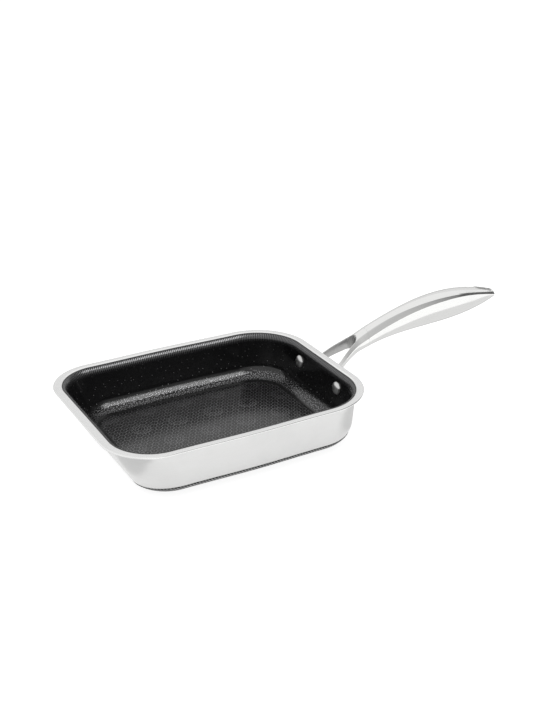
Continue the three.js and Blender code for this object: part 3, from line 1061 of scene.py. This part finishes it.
        bend = np.linspace(0, np.pi, self.nose_points)
        nose_in = self.nose - self.nose * np.sin(bend)
        nose_z = self.rim_height - self.nose + self.nose * np.cos(bend)
        under = [[self.nose_reach * self.nose, z] for z in (nose_z[-1], self.rim_height - self.ply)]
        nose = np.concatenate([np.stack([nose_in, nose_z], axis=-1), under])
        return {
            "nonstick_lining": Layer(coat_side, steady(-self.bond), self.coating_top),
            "inner_ply": Layer(steady(0.0), steady(self.ply), self.nose_start, nose, self.outer_tuck),
            "core_ply": Layer(steady(inside), core_side, self.core_top),
            "outer_ply": Layer(
                lambda station: core_side(station) + self.bond,
                lambda station: core_side(station) + self.bond + self.ply,
                self.outer_tuck,
            ),
            "base_coat": Layer(steady(below), steady(below + self.coating), self.base_top),
        }

    def build(self, finishes: Finishes) -> list[Object]:
        """Builds and dresses the layers.

        Args:
            finishes: The finishes.

        Returns:
            The pieces.
        """
        dress = {
            "nonstick_lining": ([finishes.lining], Slot.LINING, "nonstick_coating"),
            "inner_ply": ([finishes.lip], Slot.TRAY_STEEL, "inner_steel_ply"),
            "core_ply": ([finishes.core], Slot.CORE, "aluminium_core"),
            "outer_ply": ([finishes.satin], Slot.TRAY_STEEL, "outer_steel_ply"),
            "base_coat": ([finishes.base], Slot.BASE_PATTERN, "base_coating"),
        }
        layers = self.layers().items()
        return [seat(make_piece(name, [self.patch(layer)]), *dress[name]) for name, layer in layers]


# Fastening


@dataclass
class Fastening:
    """Two domed rivets through the rear wall, and the plate behind it.

    The head's seat and the plate's back and face are distances out from the rear wall's cooking surface.
    """

    height: float = 25.3
    spacing: float = 50.6
    shank: float = 5.0
    head: float = 9.4
    dome: float = 2.3
    tail: float = 8.0
    tail_height: float = 1.6
    tail_gap: float = 0.1
    head_seat: float = -0.5
    plate_back: float = 2.7
    plate_face: float = 4.7
    plate_length: float = 66.0
    plate_height: float = 15.0
    plate_edge: float = 0.5
    turn_steps: int = 48
    dome_points: int = 15
    edge_points: int = 6
    end_points: int = 25

    @staticmethod
    def placed(frame: Array, out: Array, sideways: Array, up: Array) -> Array:
        """Points of the rear wall's frame in the pan's frame."""
        local = np.stack(np.broadcast_arrays(out, sideways, up), axis=-1)
        return local @ frame[:, :3].T + frame[:, 3]

    def rivet(self, frame: Array, sideways: float) -> Patch:
        """A profile turned about the rivet's axis: a quarter ellipse for the head, a straight shank, and a
        quarter ellipse for the tail.

        Args:
            frame: The rear wall's frame.
            sideways: The rivet's place along the wall.

        Returns:
            The grid.
        """
        bend = np.linspace(0, np.pi / 2, self.dome_points)
        tail_seat = self.plate_face + self.tail_gap
        radius = [self.head / 2 * np.sin(bend), [self.shank / 2] * 2, self.tail / 2 * np.cos(bend)]
        out = [
            self.head_seat - self.dome * np.cos(bend),
            [self.head_seat, tail_seat],
            tail_seat + self.tail_height * np.sin(bend),
        ]
        radius, out = np.concatenate(radius)[:, None], np.concatenate(out)[:, None]
        turn = np.linspace(0, 2 * np.pi, self.turn_steps + 1)[None, :]
        return Patch(self.placed(frame, out, sideways + radius * np.cos(turn), radius * np.sin(turn)))

    def plate(self, frame: Array) -> Patch:
        """A profile carried round a slot's outline: from a line in the back's middle out to a rounded edge
        and in over the face to the line again.

        Args:
            frame: The rear wall's frame.

        Returns:
            The grid.
        """
        half, edge = self.plate_height / 2, self.plate_edge
        reach = self.plate_length / 2 - half
        bend = np.linspace(0, np.pi / 2, self.edge_points)
        outer = half - edge
        width = [[0.0, half / 2], outer + edge * np.sin(bend), outer + edge * np.cos(bend), [half / 2, 0.0]]
        depth = [
            [self.plate_back] * 2,
            self.plate_back + edge - edge * np.cos(bend),
            self.plate_face - edge + edge * np.sin(bend),
            [self.plate_face] * 2,
        ]
        width, depth = np.concatenate(width)[:, None], np.concatenate(depth)[:, None]
        middle, angle = slot_ring(-reach, reach, self.end_points)
        return Patch(self.placed(frame, depth, middle + width * np.cos(angle), width * np.sin(angle)))

    def build(self, tray: Tray, finishes: Finishes) -> list[Object]:
        """Builds and dresses the rivets and the plate.

        Args:
            tray: The tray, for its rear wall.
            finishes: The finishes.

        Returns:
            The pieces.
        """
        frame = tray.rear_frame(self.height)
        pieces = []
        for side, place in (("far", self.spacing / 2), ("near", -self.spacing / 2)):
            rivet = make_piece(f"{side}_rivet", [self.rivet(frame, place)])
            pieces.append(seat(rivet, [finishes.rivet], Slot.RIVET_STEEL, f"rivet_{side}"))
        plate = make_piece("handle_plate", [self.plate(frame)])
        return [*pieces, seat(plate, [finishes.polished], Slot.HANDLE_STEEL, "mounting_flange")]


# Handle


@dataclass(frozen=True)
class Outline:
    """What sets a handle section at each of its stations.

    Attributes:
        x: Place along the handle.
        full: Half of its width, at the seam.
        flat: Half of the width of its crowned top.
        high: Height of the top's edge.
        low: Height of the belly.
        crown: How far the top's middle stands above its edge.
        power: Squareness of the belly.
        drop: How far the seam lies below the top's edge.
        apart: How far each half is moved out from the middle.
        opening: Where each half starts, out from the middle.
    """

    x: Array
    full: Array
    flat: Array
    high: Array
    low: Array
    crown: Array
    power: Array
    drop: Array
    apart: Array
    opening: Array

    def upright(self) -> "Outline":
        """The same values with one row for each station, to be carried across a section's columns."""
        return Outline(**{key: value[:, None] for key, value in vars(self).items()})


@dataclass
class Handle:
    """The forked neck, the hollow grip of two shells, and the lined hanging hole in its tip.

    The heights of the top and the belly are above the lip. Each of the four heights and shares of a curve is
    one handle of its cubic. A shoulder is the width of the slope beside the crowned top, a seam its depth,
    and a power the squareness of the belly. The rates, seam_run, fade_share and fade_run count in shares of
    the grip, and seam_fade is what is left of the shoulder and the seam past them. A leg's rise is how far
    its first handle stands above its end, foot_seat is how far its foot stands out from the rear wall's
    cooking surface, and cut_run is the length over which the foot's lean dies out.
    """

    rim_height: float = 37.0
    neck_x: float = 124.6
    grip_length: float = 116.4
    top_heights: tuple[float, ...] = (14.4, 28.7, 36.0, 22.3)
    top_shares: tuple[float, ...] = (0.0, 0.37, 0.705, 1.0)
    belly_heights: tuple[float, ...] = (3.3, 12.6, 2.0, 19.8)
    belly_shares: tuple[float, ...] = (0.0, 0.238, 0.607, 1.0)
    neck_width: float = 13.6
    grip_width: float = 18.3
    tip_width: float = 5.6
    swell_rate: float = 0.78
    neck_shoulder: float = 2.2
    grip_shoulder: float = 1.9
    tip_shoulder: float = 0.7
    tip_rounding: float = 24.0
    tip_nose: float = 1.4
    neck_power: float = 4.6
    grip_power: float = 2.2
    power_rate: float = 1.8
    wall: float = 1.2
    neck_seam: float = 3.4
    grip_seam: float = 1.5
    seam_run: float = 0.7
    seam_gap: float = 0.05
    seam_fade: float = 0.6
    fade_share: float = 0.5
    fade_run: float = 0.35
    crown: float = 1.8
    edge_inset: float = 0.35
    least_top: float = 0.5
    slot_length: float = 14.0
    slot_width: float = 5.2
    slot_from_tip: float = 3.2
    liner_wall: float = 0.8
    liner_sink: float = 0.12
    leg_thickness: float = 2.4
    leg_spread: float = 12.0
    leg_above: float = 5.4
    leg_below: float = 1.5
    leg_top_rise: float = 8.9
    leg_bottom_rise: float = 9.3
    leg_flare: float = 7.6
    leg_end: float = 6.2
    gap_end: float = 12.4
    gap_edge: float = 0.55
    spigot_length: float = 13.0
    spigot_inset: float = 1.4
    sheet: float = 2.5
    foot_seat: float = 4.9
    cut_run: float = 12.0
    crease: float = 50.0
    top_columns: tuple[float, ...] = (0, 0.12, 0.25, 0.4, 0.55, 0.7, 0.82, 0.9)
    shoulder_columns: tuple[float, ...] = (0.035, 0.1, 0.2, 0.3, 0.4, 0.5, 0.6, 0.7, 0.8, 0.9, 1.0)
    belly_points: int = 25
    grip_rows: int = 64
    slot_points: int = 11
    between_points: int = 9
    tip_points: int = 4
    nose_points: int = 9
    liner_points: int = 19
    rim_points: int = 7
    leg_points: int = 25
    round_points: int = 15
    neck_points: int = 6
    spigot_points: int = 5
    edge_points: int = 5
    table_points: int = 4001

    # Sections

    @property
    def tip_x(self) -> float:
        """The grip's end."""
        return self.neck_x + self.grip_length

    def grip_x(self, share: Array) -> Array:
        """Place along the handle, half way between the top curve's and the belly curve's."""
        along = [(top + belly) / 2 for top, belly in zip(self.top_shares, self.belly_shares)]
        return self.neck_x + self.grip_length * bezier(share, along)

    def grip_share(self, x: Array) -> Array:
        """The share of the grip at places along the handle, found in a fine table."""
        share = np.linspace(0, 1, self.table_points)
        return np.interp(x, self.grip_x(share), share)

    def grip(self, share: Array, wall: float = 0.0, opening: Optional[Array] = None) -> Outline:
        """The grip's outline: top and belly are Bezier curves, the width swells as a cubed sine and closes to
        the tip as a quarter ellipse, and the last bit closes in height as well.

        Args:
            share: Places along the grip.
            wall: How far everything is drawn in.
            opening: Where each half starts, out from the middle.

        Returns:
            The outline.
        """
        swell = np.sin(self.swell_rate * np.pi * share) ** 3
        closing = np.maximum(0, 1 - (1 - share) * self.grip_length / self.tip_rounding)
        spread = np.sqrt(1 - closing**2)

        def width(neck: float, middle: float, tip: float) -> Array:
            """A width that passes from the neck's to the middle's and closes to the tip's."""
            return lerp(tip, lerp(neck, middle, swell), spread)

        fade = lerp(1.0, self.seam_fade, smooth((share - self.fade_share) / self.fade_run))
        full = width(self.neck_width, self.grip_width, self.tip_width) / 2 - wall
        flat = full - fade * width(self.neck_shoulder, self.grip_shoulder, self.tip_shoulder)
        high = self.rim_height + bezier(share, self.top_heights) - wall
        low = self.rim_height + bezier(share, self.belly_heights) + wall
        x = self.grip_x(share)
        nose = np.clip(1 - (self.tip_x - x) / self.tip_nose, 0, 1)
        close = np.sqrt(1 - nose**2)
        centre = (high + low + self.crown) / 2
        rounder = np.sin(np.pi / 2 * np.minimum(1, self.power_rate * share))
        return Outline(
            x=x,
            full=full * close,
            flat=flat * close,
            high=lerp(centre, high, close),
            low=lerp(centre, low, close),
            crown=self.crown * close,
            power=lerp(self.neck_power, self.grip_power, rounder),
            drop=lerp(self.neck_seam, self.grip_seam, smooth(share / self.seam_run)) * fade * close,
            apart=np.zeros_like(share),
            opening=np.zeros_like(share) if opening is None else opening,
        )

    def upper_half(self, outline: Outline) -> Array:
        """The upper half of one side's section: a parabola over the crowned top, then a straight shoulder
        down to the seam.

        Args:
            outline: The sections.

        Returns:
            Stations x columns x 3.
        """
        at = outline.upright()
        edge = at.flat + at.apart
        inset = self.edge_inset / np.maximum(edge - at.opening, self.least_top)
        across = np.concatenate([np.array(self.top_columns) * np.ones_like(inset), 1 - inset], axis=1)
        y = lerp(at.opening, edge, across)
        bow = np.maximum(y - at.apart, 0) / np.maximum(at.flat, TINY)
        down = np.array(self.shoulder_columns)[None, :]
        z = np.hstack([at.high + at.crown * (1 - bow**2), at.high - at.drop * down])
        y = np.hstack([y, at.apart + lerp(at.flat, at.full, down)])
        return np.stack(np.broadcast_arrays(at.x, y, z), axis=-1)

    def lower_half(self, outline: Outline, gap: float = 0.0) -> Array:
        """The lower half of one side's section: a quarter of a superellipse from the seam to the opening.

        Args:
            outline: The sections.
            gap: How far below the seam it starts.

        Returns:
            Stations x columns x 3.
        """
        at = outline.upright()
        inner = np.clip((at.opening - at.apart) / np.maximum(at.full, TINY), 0, 1)
        last = np.arccos(inner ** (at.power / 2))
        angle = last * np.linspace(0, 1, self.belly_points)[None, :]
        seam = at.high - at.drop - gap
        y = at.apart + at.full * np.maximum(np.cos(angle), 0) ** (2 / at.power)
        z = seam - (seam - at.low) * np.sin(angle) ** (2 / at.power)
        return np.stack(np.broadcast_arrays(at.x, y, z), axis=-1)

    # Grip

    def slot_ends(self) -> tuple[float, float]:
        """Middles of the hanging slot's round ends, along the handle."""
        end = self.tip_x - self.slot_from_tip - self.slot_width / 2
        return end - self.slot_length + self.slot_width, end

    def slotted_rows(self, radius: float) -> tuple[Array, Array]:
        """Rows along the grip that fit a slot with round ends: even before it, by angle round its ends and
        even between them.

        Args:
            radius: Half of the slot's width.

        Returns:
            The share of the grip at each row and the opening there.
        """
        start, end = self.slot_ends()
        bend = np.linspace(0, np.pi / 2, self.slot_points)
        nose = np.sin(np.linspace(0, np.pi / 2, self.nose_points))[1:]
        nose_x = self.tip_x - self.tip_nose
        first = self.grip_x(np.array([self.seam_gap / self.grip_length]))[0]
        x = np.concatenate([
            np.linspace(first, start - radius, self.grip_rows)[:-1],
            start - radius * np.cos(bend),
            np.linspace(start, end, self.between_points)[1:-1],
            end + radius * np.sin(bend),
            lerp(end + radius, nose_x, np.linspace(0, 1, self.tip_points)[1:]),
            nose_x + self.tip_nose * nose,
        ])
        past = np.maximum(0, np.maximum(start - x, x - end))
        return self.grip_share(x), np.sqrt(np.maximum(0, radius**2 - past**2))

    def shell(self, half: Callable[[Outline], Array]) -> list[Patch]:
        """A shell of the grip: an outer skin, an inner skin drawn in by the wall, and strips over its edges.

        Args:
            half: Gives one side's section of the shell.

        Returns:
            The grids of both sides.
        """
        share, opening = self.slotted_rows(self.slot_width / 2 + self.liner_wall)
        skin, lining = half(self.grip(share, 0.0, opening)), half(self.grip(share, self.wall, opening))
        columns = (0, -1) if skin[0, 0, 1] < skin[0, -1, 1] else (-1, 0)
        middle, seam = (np.stack([skin[:, column], lining[:, column]], axis=1) for column in columns)
        at_slot = np.flatnonzero(opening > 0)
        slot = middle[max(at_slot[0] - 1, 0) : at_slot[-1] + 2]
        patches = [Patch(grid) for grid in (skin, lining, seam, np.stack([skin[0], lining[0]]), slot)]
        return patches + [patch.mirrored() for patch in patches]

    def liner(self) -> Patch:
        """A tube carried round the hanging slot: out along the belly, up its outside, over a rounded rim that
        stands just proud of the top, and down its inside.

        Returns:
            The grid.
        """
        middle, angle = slot_ring(*self.slot_ends(), self.liner_points)
        inner, outer = self.slot_width / 2, self.slot_width / 2 + self.liner_wall - self.seam_gap
        bend = np.linspace(0, np.pi, self.rim_points)
        half, centre = (outer - inner) / 2, (outer + inner) / 2
        radius = np.concatenate([[inner, outer], centre + half * np.cos(bend), [inner]])[:, None]
        level = np.concatenate([[0.0, 0.0], np.ones_like(bend), [0.0]])[:, None]
        proud = np.concatenate([[0.0, 0.0], half * np.sin(bend) - self.liner_sink, [0.0]])[:, None]
        x, y = middle + radius * np.cos(angle), radius * np.sin(angle)
        outline = self.grip(self.grip_share(x.ravel()))
        across = np.abs(y.ravel())
        top = outline.high + outline.crown * (1 - (across / outline.flat) ** 2)
        seam = outline.high - outline.drop
        round_off = 1 - np.minimum(1, across / outline.full) ** outline.power
        belly = seam - (seam - outline.low) * np.maximum(round_off, 0) ** (1 / outline.power)
        z = lerp(belly.reshape(x.shape), top.reshape(x.shape), level) + proud
        return Patch(np.stack([x, y, z], axis=-1))

    # Fork

    def leg_faces(self, x: Array, plate_x: float) -> tuple[Array, Array, Array]:
        """A leg seen from above: its middle is a cubic from the plate to the gap's rounding, and its faces
        stand half a thickness to each side of it.

        Args:
            x: Places along the leg.
            plate_x: Where the leg's curve starts.

        Returns:
            Its inner and outer faces, out from the middle plane, and its slope.
        """
        span = self.neck_x - self.leg_end - plate_x
        neck_half = (self.neck_width - self.leg_thickness) / 2
        handles = (self.leg_spread, neck_half + self.leg_flare, neck_half, neck_half)
        share = np.minimum(1, (x - plate_x) / span)
        slope = bezier_rate(share, handles) / span
        half = self.leg_thickness / 2 * np.hypot(1, slope)
        middle = bezier(share, handles)
        return middle - half, middle + half, slope

    def fork_outline(self, x: Array, opening: Array, plate_x: float, rivet_height: float) -> Outline:
        """The neck's section carried along the fork: moved apart to the legs' outer faces, with its heights
        on cubics that leave the plate and run into the grip's curves without a bend.

        Args:
            x: Places along the fork.
            opening: Where each half starts, out from the middle.
            plate_x: Where the fork's curves start.
            rivet_height: The rivets' height.

        Returns:
            The outline.
        """
        neck = self.grip(np.zeros_like(x))
        span = self.neck_x - plate_x
        share = (x - plate_x) / span
        run = self.grip_length * (self.top_shares[1] + self.belly_shares[1]) / 2

        def height(end: float, rise: float, heights: Sequence[float]) -> Array:
            """A height that leaves the plate with a rise and meets the grip's curve on its tangent.

            Args:
                end: The height at the plate.
                rise: How far the first handle stands above it.
                heights: The handles of the grip's curve.

            Returns:
                The height at each place.
            """
            joint = self.rim_height + heights[0]
            # A cubic's last handle lies a third of its span before the end, on the end's tangent.
            before = joint - (heights[1] - heights[0]) / run * span / 3
            return bezier(share, (end, end + rise, before, joint))

        high = height(rivet_height + self.leg_above, self.leg_top_rise, self.top_heights)
        low = height(rivet_height - self.leg_below, self.leg_bottom_rise, self.belly_heights)
        neck_depth = self.top_heights[0] - self.belly_heights[0]
        return Outline(
            x=x,
            full=neck.full,
            flat=neck.flat,
            high=high,
            low=low,
            crown=self.crown * (high - low) / neck_depth,
            power=neck.power,
            drop=neck.drop * (high - low) / neck_depth,
            apart=self.leg_faces(x, plate_x)[1] - self.neck_width / 2,
            opening=opening,
        )

    def gap_plan(self, start_x: float, plate_x: float) -> tuple[Array, Array]:
        """The finger gap's edge seen from above: along a leg's inner face, then round an arc tangent to it.

        Args:
            start_x: Where the leg starts.
            plate_x: Where the leg's curve starts.

        Returns:
            Points of the edge, and the direction from the gap into the steel at each.
        """
        gap_x = self.neck_x - self.gap_end
        leg_x = np.linspace(start_x, gap_x, self.leg_points)[:-1]
        inner, _, slope = self.leg_faces(leg_x, plate_x)
        (width,), _, (end_slope,) = self.leg_faces(np.array([gap_x]), plate_x)
        lean = np.arctan(-end_slope)
        radius = width / np.cos(lean)
        bend = np.linspace(lean, np.pi / 2, self.round_points)
        centre = gap_x - radius * np.sin(lean)
        edge = np.concatenate([
            np.stack([leg_x, inner], axis=-1),
            np.stack([centre + radius * np.sin(bend), radius * np.cos(bend)], axis=-1),
        ])
        normal = np.concatenate([
            np.stack([-slope, np.ones_like(slope)], axis=-1) / np.hypot(1, slope)[:, None],
            np.stack([np.sin(bend), np.cos(bend)], axis=-1),
        ])
        return edge, normal

    def fork(self, frame: Array) -> list[Patch]:
        """The fork: on each side, sections from the plate to the neck and on along the spigot, and the wall
        of the finger gap, whose edges are quarter circles. Its foot leans with the rear wall.

        Args:
            frame: The rear wall's frame, at the rivets' height.

        Returns:
            The grids of both sides.
        """
        wall_x, rivet_height = frame[0, 3], frame[2, 3]
        wall_lean = math.tan(math.asin(frame[0, 2]))
        foot_x, plate_x = wall_x + self.foot_seat, wall_x + self.sheet
        edge, normal = self.gap_plan(foot_x, plate_x)
        start = edge + self.gap_edge * normal
        neck = np.linspace(start[-1, 0], self.neck_x, self.neck_points)[1:]
        x = np.concatenate([start[:, 0], neck])
        opening = np.concatenate([np.maximum(start[:, 1], 0), np.zeros_like(neck)])
        outline = self.fork_outline(x, opening, plate_x, rivet_height)
        along_spigot = np.linspace(0, self.spigot_length / self.grip_length, self.spigot_points)
        spigot = self.grip(along_spigot, self.spigot_inset)
        upper = np.concatenate([self.upper_half(outline), self.upper_half(spigot)])
        lower = np.concatenate([self.lower_half(outline), self.lower_half(spigot)])
        skin = np.concatenate([upper, lower[:, 1:]], axis=1)
        top, bottom = skin[: len(edge), 0, 2, None], skin[: len(edge), -1, 2, None]
        quarter = np.linspace(0, np.pi / 2, self.edge_points)
        high, low = self.gap_edge * (1 - np.sin(quarter)), self.gap_edge * (1 - np.cos(quarter))
        z = np.concatenate([top - low, bottom + high], axis=1)
        out = np.concatenate([high, low])
        plan = edge[:, None, :] + out[None, :, None] * normal[:, None, :]
        gap = np.concatenate([plan, z[..., None]], axis=-1)

        def leaned(points: Array) -> Array:
            """Points moved so that the foot leans with the rear wall, less and less along the fork.

            Args:
                points: The points.

            Returns:
                The moved points.
            """
            fade = np.clip(1 - (points[..., 0] - wall_x - self.foot_seat) / self.cut_run, 0, 1)
            moved = points.copy()
            moved[..., 0] += wall_lean * fade * (points[..., 2] - rivet_height)
            return moved

        # The gap's wall takes the second finish, darkened as painted shade in the recess.
        patches = [Patch(leaned(skin)), Patch(leaned(gap), finish=1)]
        return patches + [patch.mirrored() for patch in patches]

    def build(self, tray: Tray, fastening: Fastening, finishes: Finishes) -> list[Object]:
        """Builds and dresses the fork, both shells and the liner.

        Args:
            tray: The tray, for its rear wall.
            fastening: The rivets, for their height.
            finishes: The finishes.

        Returns:
            The pieces.
        """
        fork = self.fork(tray.rear_frame(fastening.height))
        belly = self.shell(lambda outline: self.lower_half(outline, self.seam_gap))
        shapes = [
            ("forked_neck", fork, [finishes.polished, finishes.blasted_and_shaded], "handle_fork"),
            ("grip_top", self.shell(self.upper_half), [finishes.polished], "grip_upper_shell"),
            ("grip_belly", belly, [finishes.polished], "grip_lower_shell"),
            ("hang_liner", [self.liner()], [finishes.liner], "hang_hole_liner"),
        ]
        return [
            seat(make_piece(name, patches, self.crease), dress, Slot.HANDLE_STEEL, node)
            for name, patches, dress, node in shapes
        ]


# Studio


def flat_face(name: str, finish: str, corners: Sequence[Sequence[float]]) -> tuple[Object, Graph]:
    """One flat face in the scene, whose material is still without nodes.

    Args:
        name: Its name.
        finish: Name of its material.
        corners: Its four corners, in metres.

    Returns:
        The object and its material's graph.
    """
    material, graph = blank_material(finish)
    mesh = bpy.data.meshes.new(name)
    mesh.from_pydata(corners, [], [(0, 1, 2, 3)])
    mesh.materials.append(material)
    return put(name, mesh), graph


def mirrored_only(name: str, corners: Sequence[Vector], levels: Sequence[float]) -> Object:
    """A flat grey face that shows only in reflections.

    Args:
        name: Its name.
        corners: Its four corners, in metres.
        levels: Its brightness at its lowest and at its highest x.

    Returns:
        The object.
    """
    face, graph = flat_face(name, name, corners)
    place = graph.fill(graph.node("SeparateXYZ"), graph.node("NewGeometry").outputs["Position"])
    ends = [corner.x for corner in corners]
    level = graph.ramp(place.outputs["X"], (min(ends), max(ends)), *levels)
    felt = graph.fill(graph.node("Emission"), color=level)
    graph.fill(graph.node("OutputMaterial"), surface=felt.outputs[0])
    face.visible_camera = face.visible_diffuse = face.visible_shadow = False
    face.visible_transmission = face.visible_volume_scatter = False
    return face


def light_only(lamp: Object, *takers: Object) -> None:
    """Has a lamp light some objects alone.

    Args:
        lamp: The lamp.
        takers: The objects.
    """
    lit = bpy.data.collections.new(f"lit_by_{lamp.name}")
    for taker in takers:
        lit.objects.link(taker)
    lamp.light_linking.receiver_collection = lit


@dataclass(frozen=True)
class Card:
    """A flat rectangle that faces the pan: a lamp's window or a grey screen.

    Attributes:
        name: Its name.
        towards: Direction from the pan.
        distance: From the pan, in metres.
        width: Level size, in metres.
        height: Other size, in metres.
        power: Watts, where it is a lamp.
        levels: Brightness at its lowest and highest x, where it is a screen.
    """

    name: str
    towards: tuple[float, float, float]
    distance: float
    width: float
    height: float
    power: float = 0.0
    levels: tuple[float, float] = (0.0, 0.0)

    def place(self) -> Vector:
        """Its middle."""
        return Vector(self.towards).normalized() * self.distance

    def lamp(self) -> Object:
        """A soft lamp of that size.

        Returns:
            The lamp.
        """
        light = bpy.data.lights.new(self.name, "AREA")
        light.shape, light.size, light.size_y, light.energy = "RECTANGLE", self.width, self.height, self.power
        lamp = put(self.name, light)
        lamp.location = self.place()
        lamp.rotation_mode = "QUATERNION"
        lamp.rotation_quaternion = (-self.place()).to_track_quat("-Z", "Y")
        lamp.visible_camera = False
        return lamp

    def screen(self) -> Object:
        """A grey screen of that size, seen only in reflections.

        Returns:
            The screen.
        """
        turn = (-self.place()).to_track_quat("-Z", "Y").to_matrix()
        across, up = turn @ Vector((self.width / 2, 0, 0)), turn @ Vector((0, self.height / 2, 0))
        ways = ((-1, -1), (1, -1), (1, 1), (-1, 1))
        return mirrored_only(self.name, [self.place() + a * across + b * up for a, b in ways], self.levels)


@dataclass(frozen=True)
class FloorShadeSheet:
    """Painted shade on the floor: a grey patch just above it that shows only in reflections, standing in for
    the floor's shade round the handle and the tray.

    Attributes:
        name: Its name.
        outline: Its four corners on the floor, in metres.
        level: Its brightness.
        lift: Its height, in metres.
    """

    name: str
    outline: tuple[tuple[float, float], ...]
    level: float
    lift: float = 0.0002

    def lay(self) -> Object:
        """Lays it just above the floor."""
        corners = [Vector((x, y, self.lift)) for x, y in self.outline]
        return mirrored_only(self.name, corners, (self.level, self.level))


@dataclass
class Studio:
    """Floor, light, screens, painted floor shade and camera.

    The floor adds floor_lift to its own colour for the camera, and floor_mirrored in reflections. Ambient is
    the share of the backdrop's brightness that lights the pan.
    """

    azimuth: float = -29.235
    elevation: float = 24.9092
    distance: float = 0.770260
    shift_right: float = 0.040812
    shift_up: float = 0.017404
    aim_height: float = 0.037
    lens: float = 56.95
    sensor: float = 36.0
    clip: tuple[float, float] = (0.01, 50.0)
    floor_size: float = 6.0
    floor_drop: float = 0.0003
    floor_colour: Colour = (0.38, 0.38, 0.38)
    floor_lift: float = 0.90
    floor_mirrored: float = 0.92
    ambient: float = 0.55
    window: Card = Card("window_lamp", (0.415, -0.55, 0.71), 1.0, 0.40, 0.50, power=3.0)
    top: Card = Card("top_lamp", (-0.3, 0.35, 1.0), 1.2, 0.8, 0.8, power=6.0)
    screens: tuple[Card, ...] = (
        Card("awning", (0.25, -0.69, 0.68), 1.2, 2.6, 1.74, levels=(1.15, 0.10)),
        Card("side_screen", (0.92, -0.10, 0.38), 1.3, 0.9, 1.1, levels=(0.13, 0.13)),
        Card("low_back_screen", (0.3, 1.0, 0.1), 1.4, 2.4, 0.4, levels=(0.62, 0.62)),
        Card("high_back_screen", (0.3, 1.0, 0.45), 1.4, 2.4, 0.6, levels=(0.85, 0.85)),
    )
    # Painted shade: darker patches of floor, seen only in reflections, for the floor's shade under the handle
    # and beside the tray.
    floor_shade_sheets: tuple[FloorShadeSheet, ...] = (
        FloorShadeSheet("near_floor_shade", ((0.09, -0.078), (0.34, -0.060), (0.34, 0.012), (0.09, 0.012)), 0.87),
        FloorShadeSheet("far_floor_shade", ((0.09, 0.012), (0.34, 0.012), (0.34, 0.14), (0.09, 0.14)), 0.62),
        FloorShadeSheet("left_floor_shade", ((-0.40, -0.30), (-0.085, -0.10), (-0.08, 0.10), (-0.40, 0.20)), 0.85),
    )

    def camera(self) -> None:
        """Places the camera back from the rim's middle along its line of sight, moved within its plane."""
        turn, rise = math.radians(self.azimuth), math.radians(self.elevation)
        level = math.cos(rise)
        back = Vector((math.sin(turn) * level, -math.cos(turn) * level, math.sin(rise)))
        right = Vector((math.cos(turn), math.sin(turn), 0))
        up = back.cross(right)
        data = bpy.data.cameras.new("camera")
        data.lens, data.sensor_width = self.lens, self.sensor
        data.clip_start, data.clip_end = self.clip
        camera = put("camera", data)
        camera.location = back * self.distance + right * self.shift_right + up * self.shift_up
        camera.location.z += self.aim_height
        camera.rotation_mode = "QUATERNION"
        camera.rotation_quaternion = (-back).to_track_quat("-Z", "Y")
        bpy.context.scene.camera = camera

    @staticmethod
    def sight(graph: Graph) -> tuple[NodeSocket, NodeSocket]:
        """Masks of the rays that the camera sees.

        Args:
            graph: The graph that asks.

        Returns:
            1 for rays from the camera, and 1 for those that it sees in metal or glass.
        """
        path = graph.node("LightPath").outputs
        mirrored = graph.math("MAXIMUM", path["Is Glossy Ray"], path["Is Transmission Ray"])
        return path["Is Camera Ray"], mirrored

    def world(self) -> None:
        """Hangs a white backdrop that lights the pan more softly than it looks."""
        world = bpy.data.worlds.new("backdrop")
        world.use_nodes = True
        graph = Graph(world.node_tree)
        seen = graph.math("MAXIMUM", *self.sight(graph))
        strength = graph.math("MULTIPLY_ADD", seen, 1.0 - self.ambient, self.ambient)
        backdrop = graph.fill(graph.node("Background"), color=(1, 1, 1, 1), strength=strength)
        graph.fill(graph.node("OutputWorld"), surface=backdrop.outputs[0])
        bpy.context.scene.world = world

    def floor(self) -> Object:
        """A pale plain floor that takes the pan's shadow.

        Returns:
            The floor.
        """
        half = self.floor_size / 2
        corners = [(x * half, y * half, -self.floor_drop) for x, y in ((-1, -1), (1, -1), (1, 1), (-1, 1))]
        floor, graph = flat_face("floor", "floor_paper", corners)
        paper = graph.fill(graph.node("BsdfDiffuse"), color=(*self.floor_colour, 1))
        camera, mirrored = self.sight(graph)
        direct = graph.math("MULTIPLY", camera, self.floor_lift)
        strength = graph.math("MULTIPLY_ADD", mirrored, self.floor_mirrored, direct)
        lift = graph.fill(graph.node("Emission"), strength=strength)
        both = graph.fill(graph.node("AddShader"), paper.outputs[0], lift.outputs[0])
        graph.fill(graph.node("OutputMaterial"), surface=both.outputs[0])
        return floor

    def build(self, lining: Object) -> None:
        """Sets up everything round the pan.

        Args:
            lining: The lining, which alone takes the window lamp's light.
        """
        bpy.context.scene.view_settings.view_transform = "Standard"
        self.camera()
        self.world()
        light_only(self.top.lamp(), self.floor())
        light_only(self.window.lamp(), lining)
        for card in self.screens:
            card.screen()
        for sheet in self.floor_shade_sheets:
            sheet.lay()


def main() -> None:
    """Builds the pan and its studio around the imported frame."""
    logging.basicConfig(level=logging.INFO, format="%(name)s: %(message)s")
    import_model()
    finishes = Finishes.build(Effects.build())
    tray, fastening, handle = Tray(), Fastening(), Handle()
    lining = tray.build(finishes)[0]
    fastening.build(tray, finishes)
    handle.build(tray, fastening, finishes)
    Studio().build(lining)
    bpy.context.view_layer.update()


if __name__ == "__main__":
    main()
